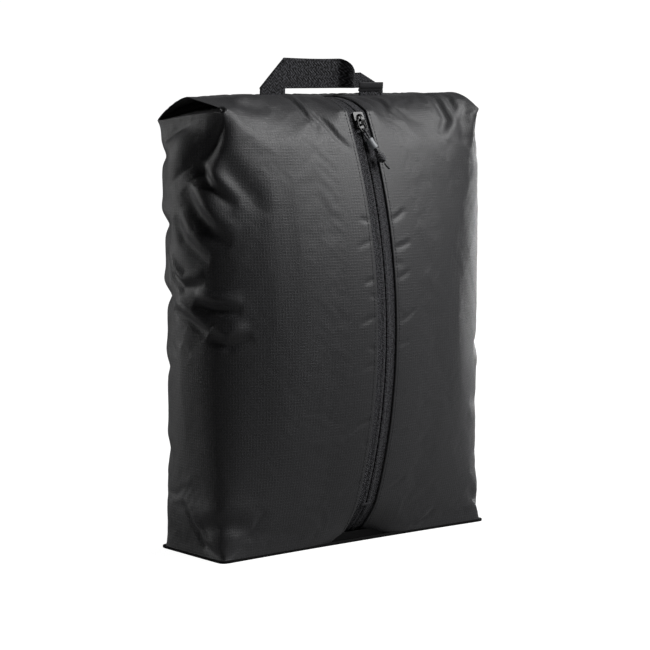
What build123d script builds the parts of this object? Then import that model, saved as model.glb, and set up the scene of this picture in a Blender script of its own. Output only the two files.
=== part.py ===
"""A zipped shoe bag in light ripstop cloth, standing filled on its base.

Millimetres, +Z up, +X to the right as the zip faces the reader, the zip on the -Y side.
The origin is the middle of the base, on its underside.
"""

import math
import os

from build123d import *

# ---- the bag -------------------------------------------------------------------------------
BASE_WIDTH = 270.0  # the base panel, side to side
BASE_DEPTH = 83.0  # the base panel, front to back
RIDGE_HEIGHT = 360.0  # the seam along the top
RIDGE_WIDTH = 256.0  # how long that seam is
ROOF_DROP = 12.0  # the shoulders lie this far below the ridge
FOOT_TUCK = 2.6  # the zip's foot is drawn in this far from the base's front corners
FRONT_BULGE = 38.8  # the zip stands this far in front of its own foot, half way up
BACK_BULGE = 20.0  # the back stands this far behind its foot, half way up
WAIST = 7.0  # each side is drawn in this far, half way up
CORNER_RADIUS = 14.0  # the soft upright edges
FOOT_RADIUS = 4.0  # the same edges where they meet the base
CLOTH = 1.2  # cloth with its seam allowances, as one wall
BINDING = 1.2  # the folded tape that binds the inner seams
BASE_BINDING_HEIGHT = 7.0
SEAM_GAP = 0.1  # between a wall and the binding beside it

# ---- the zip -------------------------------------------------------------------------------
SLOT_WIDTH = 20.8  # the tape that shows between the two folded edges
TAPE_LAP = 5.0  # the tape that is sewn behind each folded edge
TAPE = 0.6
COIL_WIDTH = 2.0  # one row of teeth
COIL = 1.6  # the teeth, front to back
TAPE_PARTING = 1.9  # the room between the two tapes, where the slider's post runs
ZIP_FOOT = 9.0  # the tape starts this far above the floor
STOP_HEIGHT = 31.0  # the bartack that stops the slider, above the floor
STOP_LENGTH = 3.0
STOP_WIDTH = 9.0
STOP = 0.7

# ---- the slider and its pull -----------------------------------------------------------------
RUNNING = 0.3  # room round everything that slides
SLIDER_LENGTH = 14.0
SLIDER_WIDTH = 10.0
SLIDER_TAIL = 7.6  # its width at the closed end
PLATE = 1.6
UNDER_PLATE = 1.2
POST_LENGTH = 5.0
BRIDGE_WIDTH = 2.4
BRIDGE_LENGTH = 9.4
BRIDGE_RISE = 3.4
BRIDGE = 0.9
WIRE = 1.4  # the pull ring's wire
RING_LENGTH = 10.5
RING_BAR = 7.2  # the straight bar under the bridge
RING_WIDTH = 8.4
CORD = 1.6
PULL_LEAN = 20.0  # degrees, the pull lies over to the right
SLEEVE_START = 7.0  # along the cord from the ring's end
SLEEVE_LENGTH = 9.0
SLEEVE_BORE = 4.7
SLEEVE_WIDTH = 6.0
KNOT_TURNS = 4
KNOT_PITCH = 2.3
KNOT_WIDTH = 7.0
TAIL_LENGTH = 7.0

# ---- the handle ------------------------------------------------------------------------------
WEBBING = 25.0  # its width
WEBBING_THICKNESS = 1.6
FOOT_LEFT = -65.0  # the left edge of the left foot
FOOT_RIGHT = 33.0  # the left edge of the right foot
FOOT_RISE = 5.6  # from the ridge to the band's lower edge
HINGE_RISE = 1.2  # the webbing bends this far above the ridge
SEWN_LENGTH = 13.0  # the ends caught in the ridge seam
LABEL_LIFT = 1.7  # from the bend to the label, so that the handle can lie down
LABEL_HEIGHT = 7.4
LABEL = 0.7
BARTACK_HEIGHT = 2.0
BARTACK = 0.6

# ---- worked out from those -------------------------------------------------------------------
SHOULDER = RIDGE_HEIGHT - ROOF_DROP
FULLEST = SHOULDER / 2  # the height where the bag is fullest
FOOT_Y = BASE_DEPTH / 2 - FOOT_TUCK
ZIP_RADIUS = (FULLEST**2 + FRONT_BULGE**2) / (2 * FRONT_BULGE)
ZIP_CENTRE = (ZIP_RADIUS - FOOT_Y - FRONT_BULGE, FULLEST)  # (Y, Z) of the arc that the zip follows
ROOF_RADIUS = (FOOT_Y**2 + ROOF_DROP**2) / (2 * ROOF_DROP)
ROOF_CENTRE = RIDGE_HEIGHT - ROOF_RADIUS
TAPE_OUTER = ZIP_RADIUS - CLOTH  # the tape lies against the inside of the cloth
TAPE_INNER = TAPE_OUTER - TAPE
COIL_INNER = TAPE_INNER - COIL
STRIP = SLOT_WIDTH / 2 + TAPE_LAP  # the front is straight across, this far each side of the zip
SLIDER_HEIGHT = SHOULDER - 0.5 - SLIDER_LENGTH / 2  # of its middle, with the zip closed
BAND_LOW = RIDGE_HEIGHT + FOOT_RISE
BAND_HIGH = BAND_LOW + WEBBING


def rise_angle(height):
    """The angle round the zip's arc at a height, in degrees up from straight ahead."""
    return math.degrees(math.asin((height - FULLEST) / ZIP_RADIUS))


def front(z):
    """How far in front of the middle the zip's line is at a height."""
    if z > SHOULDER:
        return math.sqrt(ROOF_RADIUS**2 - (z - ROOF_CENTRE) ** 2)
    return math.sqrt(ZIP_RADIUS**2 - (z - FULLEST) ** 2) - ZIP_CENTRE[0]


def back(z):
    """How far behind the middle the back panel's middle is at a height."""
    if z > SHOULDER:
        return front(z)
    return FOOT_Y + BACK_BULGE * (1 - ((z - FULLEST) / FULLEST) ** 2)


def half_width(z):
    if z > SHOULDER:
        share = (z - SHOULDER) / ROOF_DROP
        return BASE_WIDTH / 2 + (RIDGE_WIDTH - BASE_WIDTH) / 2 * share**2
    return BASE_WIDTH / 2 - WAIST * math.sin(math.pi * z / SHOULDER)


def corner_depth(z):
    """How far in front of the middle the upright edges are; the same behind."""
    if z > SHOULDER:
        return front(z)
    return BASE_DEPTH / 2 - FOOT_TUCK * z / SHOULDER


def corner_radius(z):
    soft = FOOT_RADIUS + (CORNER_RADIUS - FOOT_RADIUS) * math.sin(math.pi * min(z, SHOULDER) / SHOULDER)
    return min(soft, 0.5 * corner_depth(z))


def outline(z, inset=0.0, roof_inset=0.0):
    """The bag's outline at a height, drawn in by an inset, as one closed wire.

    In the roof the inset is taken off the roof's own radius instead.
    """
    yf, yb, yc = front(z) - inset, back(z) - inset, corner_depth(z) - inset
    if roof_inset:
        yf = math.sqrt((ROOF_RADIUS - roof_inset) ** 2 - (z - ROOF_CENTRE) ** 2)
        yb, yc = yf, yf
    wx = half_width(z) - max(inset, roof_inset)
    r = max(min(corner_radius(z), 0.5 * yc), 0.2)
    run = wx - r - STRIP
    slope = 2 * (yf - yc) / run
    back_slope = 2 * (yb - yc) / (wx - r)
    right = [
        Line((0, -yf, z), (STRIP, -yf, z)),
        Spline(
            [(STRIP, -yf, z), (STRIP + run / 2, -yf + (yf - yc) / 4, z), (wx - r, -yc, z)],
            tangents=[(1, 0, 0), (1, slope, 0)],
        ),
        Spline([(wx - r, -yc, z), (wx, -yc + r, z)], tangents=[(1, slope, 0), (0, 1, 0)]),
        Line((wx, -yc + r, z), (wx, yc - r, z)),
        Spline([(wx, yc - r, z), (wx - r, yc, z)], tangents=[(0, 1, 0), (-1, back_slope, 0)]),
        Spline(
            [(wx - r, yc, z), ((wx - r) / 2, yb - (yb - yc) / 4, z), (0, yb, z)],
            tangents=[(-1, back_slope, 0), (-1, 0, 0)],
        ),
    ]
    left = [mirror(edge, about=Plane.YZ) for edge in right]
    edges = [e for shape in right + left for e in shape.edges()]
    return Wire(edges)


def between(low, high, steps):
    return [low + (high - low) * i / steps for i in range(steps + 1)]


def filled_body(inset):
    """The bag as one solid, drawn in by an inset: its upright part and its roof."""
    foot = CLOTH if inset == 0 else CLOTH / 2
    body = Solid.make_loft([outline(z, inset) for z in between(foot, SHOULDER, 8)])
    top = RIDGE_HEIGHT - 0.1 - inset
    low = [outline(SHOULDER, inset)] if inset == 0 else [outline(SHOULDER, 0, inset)]
    roof = Solid.make_loft(low + [outline(z, 0, inset or 1e-6) for z in between(SHOULDER, top, 4)[1:]])
    if inset:
        return body, roof
    return body + roof


def arc_band(inner, outer, x_low, x_high, z_low, z_high):
    """A strip that follows the zip's arc between two heights."""
    low, high = math.radians(rise_angle(z_low)), math.radians(rise_angle(z_high))
    cy, cz = ZIP_CENTRE

    def at(radius, angle):
        return (x_low, cy - radius * math.cos(angle), cz + radius * math.sin(angle))

    middle = (low + high) / 2
    face = make_face(
        [
            ThreePointArc(at(outer, low), at(outer, middle), at(outer, high)),
            Line(at(outer, high), at(inner, high)),
            ThreePointArc(at(inner, high), at(inner, middle), at(inner, low)),
            Line(at(inner, low), at(outer, low)),
        ]
    )
    return extrude(face, amount=x_high - x_low, dir=(1, 0, 0))


def roof_band(inner_inset, outer_inset, x_low, x_high, y_near):
    """A strip that follows the roof in front of the ridge, from the shoulder to y_near before it."""

    def at(inset, y):
        radius = ROOF_RADIUS - inset
        return (x_low, -y, ROOF_CENTRE + math.sqrt(radius**2 - y**2))

    def foot(inset):
        """Where the strip leaves the zip's arc, at the same depth in the cloth."""
        radius = ZIP_RADIUS - inset
        angle = math.radians(rise_angle(SHOULDER))
        return (x_low, ZIP_CENTRE[0] - radius * math.cos(angle), ZIP_CENTRE[1] + radius * math.sin(angle))

    mid = (FOOT_Y + y_near) / 2
    face = make_face(
        [
            ThreePointArc(foot(outer_inset), at(outer_inset, mid), at(outer_inset, y_near)),
            Line(at(outer_inset, y_near), at(inner_inset, y_near)),
            ThreePointArc(at(inner_inset, y_near), at(inner_inset, mid), foot(inner_inset)),
            Line(foot(inner_inset), foot(outer_inset)),
        ]
    )
    return extrude(face, amount=x_high - x_low, dir=(1, 0, 0))


def box(x, y, z):
    """A box between (low, high) pairs."""
    size = (x[1] - x[0], y[1] - y[0], z[1] - z[0])
    return Pos((x[0] + x[1]) / 2, (y[0] + y[1]) / 2, (z[0] + z[1]) / 2) * Box(*size)


# ---- cloth -----------------------------------------------------------------------------------
def base_panel():
    return extrude(make_face(outline(CLOTH)), amount=-CLOTH)


def base_seam_binding():
    """Folded tape over the base seam's allowance, standing round the inside of the base."""
    heights = between(CLOTH, CLOTH + BASE_BINDING_HEIGHT, 2)
    outer = Solid.make_loft([outline(z, CLOTH + SEAM_GAP) for z in heights])
    inner = Solid.make_loft([outline(z, CLOTH + SEAM_GAP + BINDING) for z in heights])
    return outer - inner


def body_wrap():
    """One piece of cloth round the front, sides, back and roof, open down the front for the zip."""
    shell = filled_body(0)
    for hollow in filled_body(CLOTH):
        shell = shell - hollow
    reach = BASE_DEPTH + FRONT_BULGE
    slot = box((-SLOT_WIDTH / 2, SLOT_WIDTH / 2), (-reach, -4), (ZIP_FOOT, RIDGE_HEIGHT + 5))
    shell = shell - slot
    seat = arc_band(TAPE_OUTER - 6, TAPE_OUTER, -STRIP - SEAM_GAP, STRIP + SEAM_GAP, ZIP_FOOT, SHOULDER)
    shell = shell - seat
    for x in (FOOT_LEFT, FOOT_RIGHT):
        shell = shell - webbing_slot(x)
    return shell


def webbing_slot(x):
    half = WEBBING_THICKNESS / 2 + SEAM_GAP / 2
    z = (RIDGE_HEIGHT - 3, RIDGE_HEIGHT + 1)
    return box((x - SEAM_GAP / 2, x + WEBBING + SEAM_GAP / 2), (-half, half), z)


def ridge_seam_binding(wrap):
    """Folded tape over the ridge seam's allowance, hanging inside along the ridge."""
    half = WEBBING_THICKNESS / 2 + SEAM_GAP
    low = RIDGE_HEIGHT - SEWN_LENGTH - BINDING - SEAM_GAP
    x = (-RIDGE_WIDTH / 2 + CORNER_RADIUS, RIDGE_WIDTH / 2 - CORNER_RADIUS)
    outer = box(x, (-half - BINDING, half + BINDING), (low, RIDGE_HEIGHT - CLOTH - 0.2))
    inner = box((x[0] - 1, x[1] + 1), (-half, half), (low + BINDING, RIDGE_HEIGHT))
    return (outer - inner) - wrap


# ---- the zip ---------------------------------------------------------------------------------
def zip_tape(side):
    """One woven tape, from the foot of the front, over the shoulder, to the ridge seam."""
    x = sorted((side * TAPE_PARTING / 2, side * STRIP))
    return arc_band(TAPE_INNER, TAPE_OUTER, *x, ZIP_FOOT, SHOULDER)


def zip_tape_roof(side):
    """The tape's own last stretch, over the roof, inside the slot."""
    x = sorted((side * TAPE_PARTING / 2, side * (SLOT_WIDTH / 2 - SEAM_GAP)))
    return roof_band(CLOTH + TAPE, CLOTH, *x, 4.5)


def whole_tape(side):
    return zip_tape(side) + zip_tape_roof(side)


def zip_coil(side):
    x = sorted((side * TAPE_PARTING / 2, side * (TAPE_PARTING / 2 + COIL_WIDTH)))
    return arc_band(COIL_INNER, TAPE_INNER, *x, ZIP_FOOT, SHOULDER - 0.2)


def zip_stop():
    """The bartack across the tapes that the slider stops against."""
    x = (-STOP_WIDTH / 2, STOP_WIDTH / 2)
    return arc_band(TAPE_OUTER, TAPE_OUTER + STOP, *x, STOP_HEIGHT, STOP_HEIGHT + STOP_LENGTH)


# ---- the slider, drawn flat: X across, Y out of the cloth as minus, Z up along the zip ---------
def place_on_zip(shape, height=SLIDER_HEIGHT):
    angle = rise_angle(height)
    y = ZIP_CENTRE[0] - ZIP_RADIUS * math.cos(math.radians(angle))
    return Pos(0, y, height) * Rot(-angle, 0, 0) * shape


PLATE_UNDER = -(ZIP_RADIUS - TAPE_OUTER) + RUNNING  # how far out of the cloth the plate's inside is
PLATE_TOP = PLATE_UNDER + PLATE
UNDER_TOP = -(ZIP_RADIUS - COIL_INNER) - RUNNING
BAR_OUT = PLATE_TOP + 0.5 + WIRE / 2  # the ring's bar, out of the cloth


def plate(out_low, out_high):
    w, tail, half = SLIDER_WIDTH / 2, SLIDER_TAIL / 2, SLIDER_LENGTH / 2
    points = [(-w, half), (w, half), (w, 1), (tail, -half), (-tail, -half), (-w, 1)]
    wire = FilletPolyline(*points, radius=1.2, close=True)
    face = Plane((0, -out_low, 0), x_dir=(1, 0, 0), z_dir=(0, -1, 0)) * make_face(wire)
    return extrude(face, amount=out_high - out_low, dir=(0, -1, 0))


def slider_body():
    top = plate(PLATE_UNDER, PLATE_TOP)
    under = plate(UNDER_TOP - UNDER_PLATE, UNDER_TOP)
    half_post = TAPE_PARTING / 2 - RUNNING
    z = (SLIDER_LENGTH / 2 - 0.6 - POST_LENGTH, SLIDER_LENGTH / 2 - 0.6)
    post = box((-half_post, half_post), (-PLATE_TOP, -UNDER_TOP), z)
    flange_x = (TAPE_PARTING / 2 + COIL_WIDTH + RUNNING, SLIDER_TAIL / 2)
    flange_out = (UNDER_TOP, UNDER_TOP + COIL)
    body = top + under + post
    for side in (-1, 1):
        x = sorted((side * flange_x[0], side * flange_x[1]))
        half = SLIDER_LENGTH / 2 - 1.5
        body = body + box(x, (-flange_out[1], -flange_out[0]), (-half, half))
    return place_on_zip(body)


def slider_bridge():
    """The little arch on the slider that holds the ring's bar."""
    half, rise = BRIDGE_LENGTH / 2, BRIDGE_RISE

    def at(z, out):
        return (-BRIDGE_WIDTH / 2, -(PLATE_TOP + out), z)

    h = half - BRIDGE
    face = make_face(
        [
            Line(at(-half, 0), at(-half, rise * 0.45)),
            ThreePointArc(at(-half, rise * 0.45), at(0, rise), at(half, rise * 0.45)),
            Line(at(half, rise * 0.45), at(half, 0)),
            Line(at(half, 0), at(h, 0)),
            Line(at(h, 0), at(h, rise * 0.45)),
            ThreePointArc(at(h, rise * 0.45), at(0, rise - BRIDGE), at(-h, rise * 0.45)),
            Line(at(-h, rise * 0.45), at(-h, 0)),
            Line(at(-h, 0), at(-half, 0)),
        ]
    )
    return place_on_zip(extrude(face, amount=BRIDGE_WIDTH, dir=(1, 0, 0)))


def pull_ring():
    """A bent wire: its straight bar lies under the bridge."""
    bar, wide, long = RING_BAR / 2, RING_WIDTH / 2, RING_LENGTH
    points = [(-bar, 0), (bar, 0), (wide, -0.55 * long), (0.5 * wide, -long)]
    points = points + [(-0.5 * wide, -long), (-wide, -0.55 * long)]
    flat = FilletPolyline(*points, radius=1.5, close=True)
    path = Plane((0, -BAR_OUT, 0), x_dir=(1, 0, 0), z_dir=(0, -1, 0)) * flat
    section = Plane(origin=path @ 0, z_dir=path % 0) * Circle(WIRE / 2)
    return place_on_zip(sweep(section, path=path))


# The pull's own line: it starts at the ring's far wire and lies over to the right.
# A point on it is (along the line, out from the line).
LEAN = math.radians(PULL_LEAN)
KNOT_START = 20.0
CORD_HALF = [(20.0, 0.9), (12.5, 0.95), (6.5, 1.25), (2.4, 1.7), (-1.65, 1.7)]
CORD_ROUTE = [(s, -out) for s, out in CORD_HALF] + CORD_HALF[::-1]
LINE_TILT = 4.0  # degrees, the line rises off the cloth towards the knot


def on_pull(s, out, across=0.0):
    """A point in the slider's own flat frame from its place on the pull's line."""
    tilt = math.radians(LINE_TILT)
    along = s * math.cos(tilt) - out * math.sin(tilt)
    up = s * math.sin(tilt) + out * math.cos(tilt)
    x = along * math.sin(LEAN) + across * math.cos(LEAN)
    z = -RING_LENGTH - along * math.cos(LEAN) + across * math.sin(LEAN)
    return Vector(x, -(BAR_OUT + up), z)


def pull_plane(s):
    """A plane square across the pull's line."""
    direction = on_pull(1, 0) - on_pull(0, 0)
    return Plane(origin=on_pull(s, 0), x_dir=on_pull(0, 0, 1) - on_pull(0, 0), z_dir=direction)


def bend_radii(points):
    """The largest tangent arcs that the runs beside each corner allow."""
    radii = []
    for a, b, c in zip(points, points[1:], points[2:]):
        turn = math.radians((b - a).get_angle(c - b))
        shorter = min((b - a).length, (c - b).length)
        radii.append(0.45 * shorter / math.tan(turn / 2))
    return radii


def pull_cord():
    """A cord doubled through the ring, both strands ending in the knot."""
    points = [on_pull(s, out) for s, out in CORD_ROUTE]
    radii = bend_radii(points)
    path = FilletPolyline(*points, radius=radii)
    section = Plane(origin=path @ 0, z_dir=path % 0) * Circle(CORD / 2)
    tube = sweep(section, path=path)
    share = tube.volume / (math.pi * CORD**2 / 4 * path.length)
    print("pull cord: length", round(path.length, 1), "radii", [round(r, 1) for r in radii])
    print("pull cord: volume over section times length", round(share, 3))
    return place_on_zip(tube)


def pull_sleeve():
    plane = pull_plane(SLEEVE_START)
    ring = Circle(SLEEVE_WIDTH / 2) - Circle(SLEEVE_BORE / 2)
    return place_on_zip(extrude(plane * ring, amount=SLEEVE_LENGTH))


def pull_knot():
    """A barrel knot: the turns of cord lie side by side."""
    plane = pull_plane(KNOT_START)
    solid = None
    for turn in range(KNOT_TURNS):
        middle = (turn + 0.5) * KNOT_PITCH
        half = KNOT_PITCH / 2 + (0.15 if turn < KNOT_TURNS - 1 else 0)
        width = KNOT_WIDTH / 2 - (0.35 if turn in (0, KNOT_TURNS - 1) else 0)
        profile = make_face(
            [
                Line((0, middle - KNOT_PITCH / 2), (0, middle + half)),
                Line((0, middle + half), (width - 0.9, middle + half)),
                ThreePointArc(
                    (width - 0.9, middle + half), (width, middle), (width - 0.9, middle - KNOT_PITCH / 2)
                ),
                Line((width - 0.9, middle - KNOT_PITCH / 2), (0, middle - KNOT_PITCH / 2)),
            ]
        )
        bead = revolve(Plane.XZ * profile, axis=Axis.Z)
        solid = bead if solid is None else solid + bead
    return place_on_zip(plane * solid)


def pull_cord_tail():
    """The cord's sealed end, past the knot."""
    end = KNOT_START + KNOT_TURNS * KNOT_PITCH
    points = [on_pull(end + SEAM_GAP, 0), on_pull(end + 0.5 * TAIL_LENGTH, 0.2), on_pull(end + TAIL_LENGTH, 1.4)]
    path = FilletPolyline(*points, radius=bend_radii(points)[0])
    section = Plane(origin=path @ 0, z_dir=path % 0) * Circle(CORD / 2)
    return place_on_zip(sweep(section, path=path))


# ---- the handle --------------------------------------------------------------------------------
def upright(points, y_low, y_high):
    """A flat piece from its corners in X and Z."""
    face = make_face(Polyline(*[(x, y_low, z) for x, z in points], close=True))
    return extrude(face, amount=y_high - y_low, dir=(0, 1, 0))


def handle_webbing():
    """One webbing folded over at 45 degrees above each foot, so that the band lies level."""
    half, hinge = WEBBING_THICKNESS / 2, RIDGE_HEIGHT + HINGE_RISE
    left, right = FOOT_LEFT, FOOT_RIGHT
    foot_l = [(left, hinge), (left + WEBBING, hinge), (left + WEBBING, BAND_HIGH), (left, BAND_LOW)]
    foot_r = [(right, hinge), (right + WEBBING, hinge), (right + WEBBING, BAND_LOW), (right, BAND_HIGH)]
    handle = upright(foot_l, -half, half) + upright(foot_r, -half, half)
    for x in (left, right):
        round_foot = Pos(x + WEBBING / 2, 0, hinge) * Rot(0, 90, 0) * Cylinder(half, WEBBING)
        handle = handle + round_foot
    ends = (left, right + WEBBING)
    plan = [(ends[0], half), (ends[1], -3 * half), (ends[1], -half), (ends[0], 3 * half)]
    face = make_face(Polyline(*[(x, y, BAND_LOW) for x, y in plan], close=True))
    band = extrude(face, amount=WEBBING, dir=(0, 0, 1))
    wedge_l = [(ends[0] - 1, BAND_LOW - 1), (ends[0] - 1, BAND_HIGH + 1), (left + WEBBING + 1, BAND_HIGH + 1)]
    wedge_r = [(ends[1] + 1, BAND_LOW - 1), (ends[1] + 1, BAND_HIGH + 1), (right - 1, BAND_HIGH + 1)]
    for wedge in (wedge_l, wedge_r):
        band = band - upright(wedge, -4 * WEBBING_THICKNESS, 4 * WEBBING_THICKNESS)
    return handle + band


def handle_end(x):
    """The webbing's end below the ridge, caught in the seam."""
    half = WEBBING_THICKNESS / 2
    return box((x, x + WEBBING), (-half, half), (RIDGE_HEIGHT - SEWN_LENGTH, RIDGE_HEIGHT))


def handle_bartack(x):
    """Two bars of close stitches through the binding, one on each face."""
    out = WEBBING_THICKNESS / 2 + SEAM_GAP + BINDING
    z = (RIDGE_HEIGHT - SEWN_LENGTH + 2, RIDGE_HEIGHT - SEWN_LENGTH + 2 + BARTACK_HEIGHT)
    width = (x + 1, x + WEBBING - 1)
    front_bar = box(width, (-out - BARTACK, -out), z)
    back_bar = box(width, (out, out + BARTACK), z)
    return Compound(children=[front_bar.solid(), back_bar.solid()])


def label_tab():
    """A smooth folded tape on the right foot: its lower part lies on the foot, its top on the band."""
    on_foot, on_band = WEBBING_THICKNESS / 2 + SEAM_GAP, 3 * WEBBING_THICKNESS / 2 + SEAM_GAP
    low = RIDGE_HEIGHT + HINGE_RISE + LABEL_LIFT
    high = low + LABEL_HEIGHT
    step_low, step_high = BAND_LOW - 1.2 * LABEL, BAND_LOW - 0.2 * LABEL
    inside = [(on_foot, low), (on_foot, step_low), (on_band, step_high), (on_band, high)]
    outside = [(out + LABEL, z) for out, z in reversed(inside)]
    face = make_face(Polyline(*[(FOOT_RIGHT, -out, z) for out, z in inside + outside], close=True))
    return extrude(face, amount=WEBBING, dir=(1, 0, 0))


def build():
    wrap = body_wrap()
    return {
        "body_wrap": wrap,
        "base_panel": base_panel(),
        "base_seam_binding": base_seam_binding(),
        "ridge_seam_binding": ridge_seam_binding(wrap),
        "zip_tape_left": whole_tape(-1),
        "zip_tape_right": whole_tape(1),
        "zip_coil_left": zip_coil(-1),
        "zip_coil_right": zip_coil(1),
        "zip_bottom_stop": zip_stop(),
        "slider_body": slider_body(),
        "slider_bridge": slider_bridge(),
        "pull_ring": pull_ring(),
        "pull_cord": pull_cord(),
        "pull_sleeve": pull_sleeve(),
        "pull_knot": pull_knot(),
        "pull_cord_tail": pull_cord_tail(),
        "handle_webbing": handle_webbing(),
        "handle_end_left": handle_end(FOOT_LEFT),
        "handle_end_right": handle_end(FOOT_RIGHT),
        "handle_bartack_left": handle_bartack(FOOT_LEFT),
        "handle_bartack_right": handle_bartack(FOOT_RIGHT),
        "label_tab": label_tab(),
    }


os.makedirs("parts", exist_ok=True)
for name, shape in build().items():
    export_step(shape, f"parts/{name}.step")
lift = math.radians(rise_angle(SLIDER_HEIGHT))
pivot_y = ZIP_CENTRE[0] - (ZIP_RADIUS + BAR_OUT) * math.cos(lift)
pivot_z = ZIP_CENTRE[1] + (ZIP_RADIUS + BAR_OUT) * math.sin(lift)
print("zip arc: radius", round(ZIP_RADIUS, 3), "centre Y, Z", [round(v, 3) for v in ZIP_CENTRE])
print("slider: height", SLIDER_HEIGHT, "angle", round(rise_angle(SLIDER_HEIGHT), 3))
print("pull pivot Y, Z:", round(pivot_y, 3), round(pivot_z, 3))
print("handle hinge height:", RIDGE_HEIGHT + HINGE_RISE)
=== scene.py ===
# %% [markdown]
# # A zipped shoe bag in black ripstop
#
# The bag is one long piece of thin cloth that goes round the front, the sides and the back, a base
# panel, a zip down the middle of the front and a webbing handle on the top seam. It stands filled.
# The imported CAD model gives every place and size; this file makes what the eye sees of it.

import math

import bpy
import numpy as np
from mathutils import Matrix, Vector


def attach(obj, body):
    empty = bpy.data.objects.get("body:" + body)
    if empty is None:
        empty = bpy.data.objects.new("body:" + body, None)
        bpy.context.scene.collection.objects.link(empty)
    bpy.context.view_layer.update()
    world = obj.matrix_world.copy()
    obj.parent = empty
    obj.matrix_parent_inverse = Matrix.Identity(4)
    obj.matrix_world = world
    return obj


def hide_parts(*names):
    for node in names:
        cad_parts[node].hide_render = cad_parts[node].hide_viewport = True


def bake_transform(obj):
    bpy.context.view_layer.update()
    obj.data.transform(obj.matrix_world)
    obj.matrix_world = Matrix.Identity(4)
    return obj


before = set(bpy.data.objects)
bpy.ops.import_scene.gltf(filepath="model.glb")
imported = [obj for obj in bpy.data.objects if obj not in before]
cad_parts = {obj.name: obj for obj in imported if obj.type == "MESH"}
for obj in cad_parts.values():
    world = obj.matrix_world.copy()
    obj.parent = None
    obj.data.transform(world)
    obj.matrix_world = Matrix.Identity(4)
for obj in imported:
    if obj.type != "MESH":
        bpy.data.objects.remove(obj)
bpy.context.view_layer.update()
scene = bpy.context.scene
MM = 0.001

# %% [markdown]
# ## Camera
#
# A catalogue view is taken from well back with a long lens, so that a box keeps its upright lines.
# The camera is level with the handle and looks slightly down at the bag's left front corner. Its
# direction is set as two angles; a constraint that tracks the bag would need one more object.

# %% Camera
LENS, SENSOR = 128.4, 36
LOOK_DOWN, LOOK_ROUND = 6.5, 38.89


def placed(name, data):
    """Puts a mesh, curve, light or camera in the scene under its own name."""
    made = bpy.data.objects.new(name, data)
    scene.collection.objects.link(made)
    return made


lens = bpy.data.cameras.new("camera")
lens.lens, lens.sensor_width = LENS, SENSOR
camera = placed("camera", lens)
camera.location = (-1.181, -1.463, 0.3875)
camera.rotation_euler = (math.radians(90 - LOOK_DOWN), 0, -math.radians(LOOK_ROUND))
scene.camera = camera
print("camera, m from the bag's middle line:", round(math.hypot(*camera.location[:2]), 2))

# %% [markdown]
# ## The bag's sizes
#
# These are the sizes that the CAD model is driven by, in millimetres. The zip follows one arc, so
# that its slider can travel on a hinge; the cloth, the tapes and the stitches all take their
# places from that same arc. The roof's slopes follow a second, tighter arc up to the ridge.

# %% Sizes
BASE_WIDTH, BASE_DEPTH = 270.0, 83.0
RIDGE_HEIGHT, SHOULDER = 360.0, 348.0
ZIP_RADIUS, ZIP_Y, ZIP_Z = 409.555, 331.855, 174.0
ROOF_RADIUS, ROOF_CENTRE = 69.05, 290.95
SLOT_HALF = 10.4
FOOT_Y = 38.9
ROOF_RUN = math.hypot(FOOT_Y, RIDGE_HEIGHT - SHOULDER)
print("a roof slope is", round(ROOF_RUN, 1), "mm of cloth")


# %% Curves that the sizes give
def zip_line(z):
    """How far in front of the bag's middle the zip's line is, at a height."""
    return np.sqrt(ZIP_RADIUS**2 - (np.asarray(z, float) - ZIP_Z) ** 2) - ZIP_Y


def roof_line(y):
    """How high the roof's arc is, at a distance in front of or behind the ridge."""
    return ROOF_CENTRE + math.sqrt(ROOF_RADIUS**2 - y**2)


def soft_step(low, high, value):
    """Rises from 0 at low to 1 at high, level at both ends; it falls where low is above high."""
    share = np.clip((np.asarray(value, float) - low) / (high - low), 0, 1)
    return share * share * (3 - 2 * share)


def through(value, pairs):
    """A smooth curve through (place, size) pairs: each run is a soft step."""
    total = np.full_like(np.asarray(value, float), pairs[0][1])
    for (a, size_a), (b, size_b) in zip(pairs, pairs[1:]):
        total = total + (size_b - size_a) * soft_step(a, b, value)
    return total


print("the zip stands", round(float(zip_line(ZIP_Z)), 1), "mm in front of the middle at its fullest")

# %% [markdown]
# ## Making meshes
#
# Cloth, tape and webbing are all strips that were flat before they were sewn. A box could be
# unwrapped after it is modelled, but its weave would then bend at every seam. Here one function
# makes a mesh from rows of points and keeps the flat place of each point as its UV, in
# millimetres, so that a weave is drawn at its real size and runs along the cloth.


# %% Mesh from rows of points
def quads(number):
    """The four corners of every face of a grid of numbers."""
    corners = [number[:-1, :-1], number[:-1, 1:], number[1:, 1:], number[1:, :-1]]
    return np.stack(corners, -1).reshape(-1, 4)


def smooth_mesh(name, points, faces, material):
    """A smooth-shaded mesh from points in millimetres and lists of corners."""
    mesh = bpy.data.meshes.new(name)
    mesh.from_pydata((points * MM).tolist(), [], faces)
    mesh.polygons.foreach_set("use_smooth", [True] * len(mesh.polygons))
    mesh.materials.append(material)
    return placed(name, mesh)


def strip_mesh(name, points, flat, material, round_and_back=False):
    """points and flat are rows and columns; a closed section joins its last column to its first."""
    rows, cols = points.shape[:2]
    number = np.arange(rows * cols).reshape(rows, cols)
    if round_and_back:
        number = np.hstack([number, number[:, :1]])
    made = smooth_mesh(name, points.reshape(-1, 3), quads(number).tolist(), material)
    place = quads(np.arange(rows * flat.shape[1]).reshape(rows, flat.shape[1]))
    uv = made.data.uv_layers.new(name="flat_mm")
    uv.data.foreach_set("uv", flat.reshape(-1, 2)[place.reshape(-1)].astype(np.float32).reshape(-1))
    return made


# %% Thickness
def bake_modifiers(made):
    """Turns what a piece's modifiers show into its own faces."""
    bpy.context.view_layer.update()
    graph = bpy.context.evaluated_depsgraph_get()
    mesh = bpy.data.meshes.new_from_object(made.evaluated_get(graph), depsgraph=graph)
    made.modifiers.clear()
    made.data = mesh


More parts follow.
